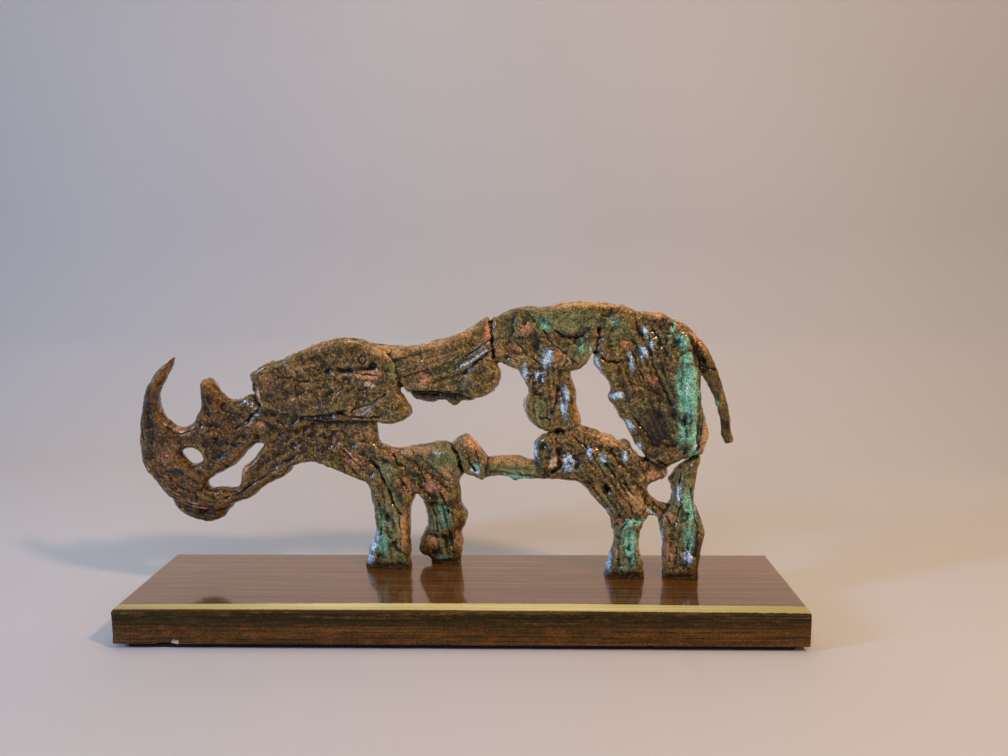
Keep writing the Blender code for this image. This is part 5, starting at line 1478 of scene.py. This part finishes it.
low, high = (np.array(corner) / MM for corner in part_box("felt_sheet"))
marks = [spaced_marks(low[axis], high[axis], FELT_ROUND, FELT_STEPS, coarse)
         for axis, coarse in enumerate(FELT_PITCH)]
points, squares = block_skin(marks)
points = ease_edges(points, FELT_ROUND)
edge_share = np.abs(points[:, :2]) / high[:2]
wave = FELT_WAVE * soft_noise(points * (1, 1, 0.2), FELT_WAVE_SIZE)
points[:, :2] *= 1 - (np.abs(wave)[:, None] / high[:2]) * (edge_share > 0.8)
points = np.clip(points, low, high)
cloth = bpy.data.meshes.new("wool_felt")
cloth.from_pydata((points * MM).tolist(), [], squares)
cloth.materials.append(black_felt_and_painted_shade())
cloth.shade_smooth()
felt = link_object("wool_felt", cloth)
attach(felt, "root")
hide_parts("felt_sheet")
print("felt:", (high - low).round(1), "mm")

# %% [markdown]
# ## The camera
#
# The picture was taken from close in front, a little above the figure's back. The lens and the
# place of the camera were worked out from the board's corners. The lens is given in millimetres
# for a sensor 36 mm wide, the place in millimetres, and the three turns in degrees.

# %% The camera
CAMERA_PLACE = (37.8, -468.35, 210.3)
CAMERA_HEADING = 1.554
CAMERA_DIP = 8.069
CAMERA_ROLL = -0.436
LENS = 29.48

camera = bpy.data.objects.new("camera", bpy.data.cameras.new("camera"))
bpy.context.scene.collection.objects.link(camera)
camera.data.lens = LENS
camera.data.sensor_width = 36.0
camera.data.clip_start = 0.01
facing_turn = Matrix.Rotation(math.radians(CAMERA_HEADING), 4, "Z")
dip_turn = Matrix.Rotation(math.radians(90 - CAMERA_DIP), 4, "X")
roll_turn = Matrix.Rotation(math.radians(CAMERA_ROLL), 4, "Z")
camera.matrix_world = Matrix.Translation(Vector(CAMERA_PLACE) * MM) @ facing_turn @ dip_turn @ roll_turn
bpy.context.scene.camera = camera
print("camera looks along", (camera.matrix_world.to_3x3() @ Vector((0, 0, -1))).to_tuple(3))

# %% [markdown]
# ## The room
#
# A plain pale sweep stands in for the room: the floor curves up into the wall, so no line shows
# behind the figure. The light is soft. A cool window on the left puts blue glints on the edges
# that face it, a warm lamp on the upper right lights the top edges, and a dim warm panel at the
# wall lights the rims from behind. A ceiling and a large panel behind the camera fill the rest.
# That last panel isn't mirrored, because a lacquered figure shows whatever stands in front of it.

# %% Floor and wall
SWEEP_WIDTH = 4.0
SWEEP_FRONT = -1.6
SWEEP_BACK = 0.62
SWEEP_HEIGHT = 1.8
SWEEP_CURVE = 0.25


def painted_board(name, code):
    """Matt paint on a smooth board."""
    material, tree, shader = new_material(name)
    place = add_node(tree, "ShaderNodeTexCoord").outputs["Object"]
    cloud = add_node(tree, "ShaderNodeTexNoise", {"Vector": place, "Scale": per_mm(400), "Detail": 2.0})
    tint = add_node(tree, "ShaderNodeHueSaturation", {
        "Color": linear(code),
        "Value": add_node(tree, "ShaderNodeMapRange", {
            "Value": cloud.outputs[0], "From Min": 0.3, "From Max": 0.7, "To Min": 0.97,
            "To Max": 1.03}).outputs[0]})
    tree.links.new(tint.outputs[0], shader.inputs["Base Color"])
    shader.inputs["Roughness"].default_value = 0.9
    return material


turns = [math.radians(angle) for angle in range(0, 91, 6)]
profile = [(SWEEP_FRONT, 0.0), (-0.6, 0.0), (0.0, 0.0)]
curve_start = SWEEP_BACK - SWEEP_CURVE
profile += [(curve_start + SWEEP_CURVE * math.sin(turn), SWEEP_CURVE * (1 - math.cos(turn)))
            for turn in turns]
profile += [(SWEEP_BACK, SWEEP_HEIGHT)]
corners = [(side * SWEEP_WIDTH / 2, y, z) for y, z in profile for side in (-1, 1)]
sheets = [(2 * i, 2 * i + 1, 2 * i + 3, 2 * i + 2) for i in range(len(profile) - 1)]
sweep_mesh = bpy.data.meshes.new("sweep")
sweep_mesh.from_pydata(corners, [], sheets)
sweep_mesh.materials.append(painted_board("pale_painted_sweep", "#cacdca"))
sweep_mesh.shade_smooth()
sweep = link_object("sweep", sweep_mesh)
print("sweep:", len(sheets), "strips")

# %% Lights
LIGHTS = {
    "window": dict(at=(-0.95, -0.45, 0.5), aim=(0.0, 0.0, 0.12), size=(0.1, 0.28), watts=6.6,
                   tint="#8fbcff"),
    "lamp": dict(at=(0.65, -0.5, 0.9), aim=(0.0, 0.0, 0.1), size=(0.1, 0.1), watts=7.2,
                 tint="#ffc69c"),
    "room": dict(at=(0.15, -1.3, 1.2), aim=(0.0, 0.0, 0.1), size=(1.4, 0.8), watts=5.8,
                 tint="#fff0e0"),
    "ceiling": dict(at=(0.0, 0.1, 1.3), aim=(0.0, 0.0, 0.0), size=(1.0, 0.6), watts=4.0,
                    tint="#ffeeda"),
    "back panel": dict(at=(0.0, 0.58, 0.27), aim=(0.0, 0.0, 0.27), size=(1.3, 0.28), watts=0.65,
                       tint="#ffd2ae"),
}
# The room light shows only as soft light, and no light is seen by the camera itself
UNMIRRORED = {"room"}
WORLD_STRENGTH = 0.1


def add_light(name, at, aim, size, watts, tint):
    """A soft rectangular light aimed at a point."""
    light = bpy.data.lights.new(name, "AREA")
    light.shape = "RECTANGLE"
    light.size, light.size_y = size
    light.energy = watts
    light.color = linear(tint)[:3]
    item = bpy.data.objects.new(name, light)
    item.location = at
    item.rotation_euler = (Vector(aim) - Vector(at)).to_track_quat("-Z", "Y").to_euler()
    item.visible_camera = False
    item.visible_glossy = name not in UNMIRRORED
    bpy.context.scene.collection.objects.link(item)


for name, values in LIGHTS.items():
    add_light(name, **values)
world = bpy.data.worlds.new("room")
world.use_nodes = True
world.node_tree.nodes["Background"].inputs["Color"].default_value = linear("#e8e6e8")
world.node_tree.nodes["Background"].inputs["Strength"].default_value = WORLD_STRENGTH
bpy.context.scene.world = world
bpy.context.scene.view_settings.view_transform = "Standard"
print("lights:", ", ".join(LIGHTS))
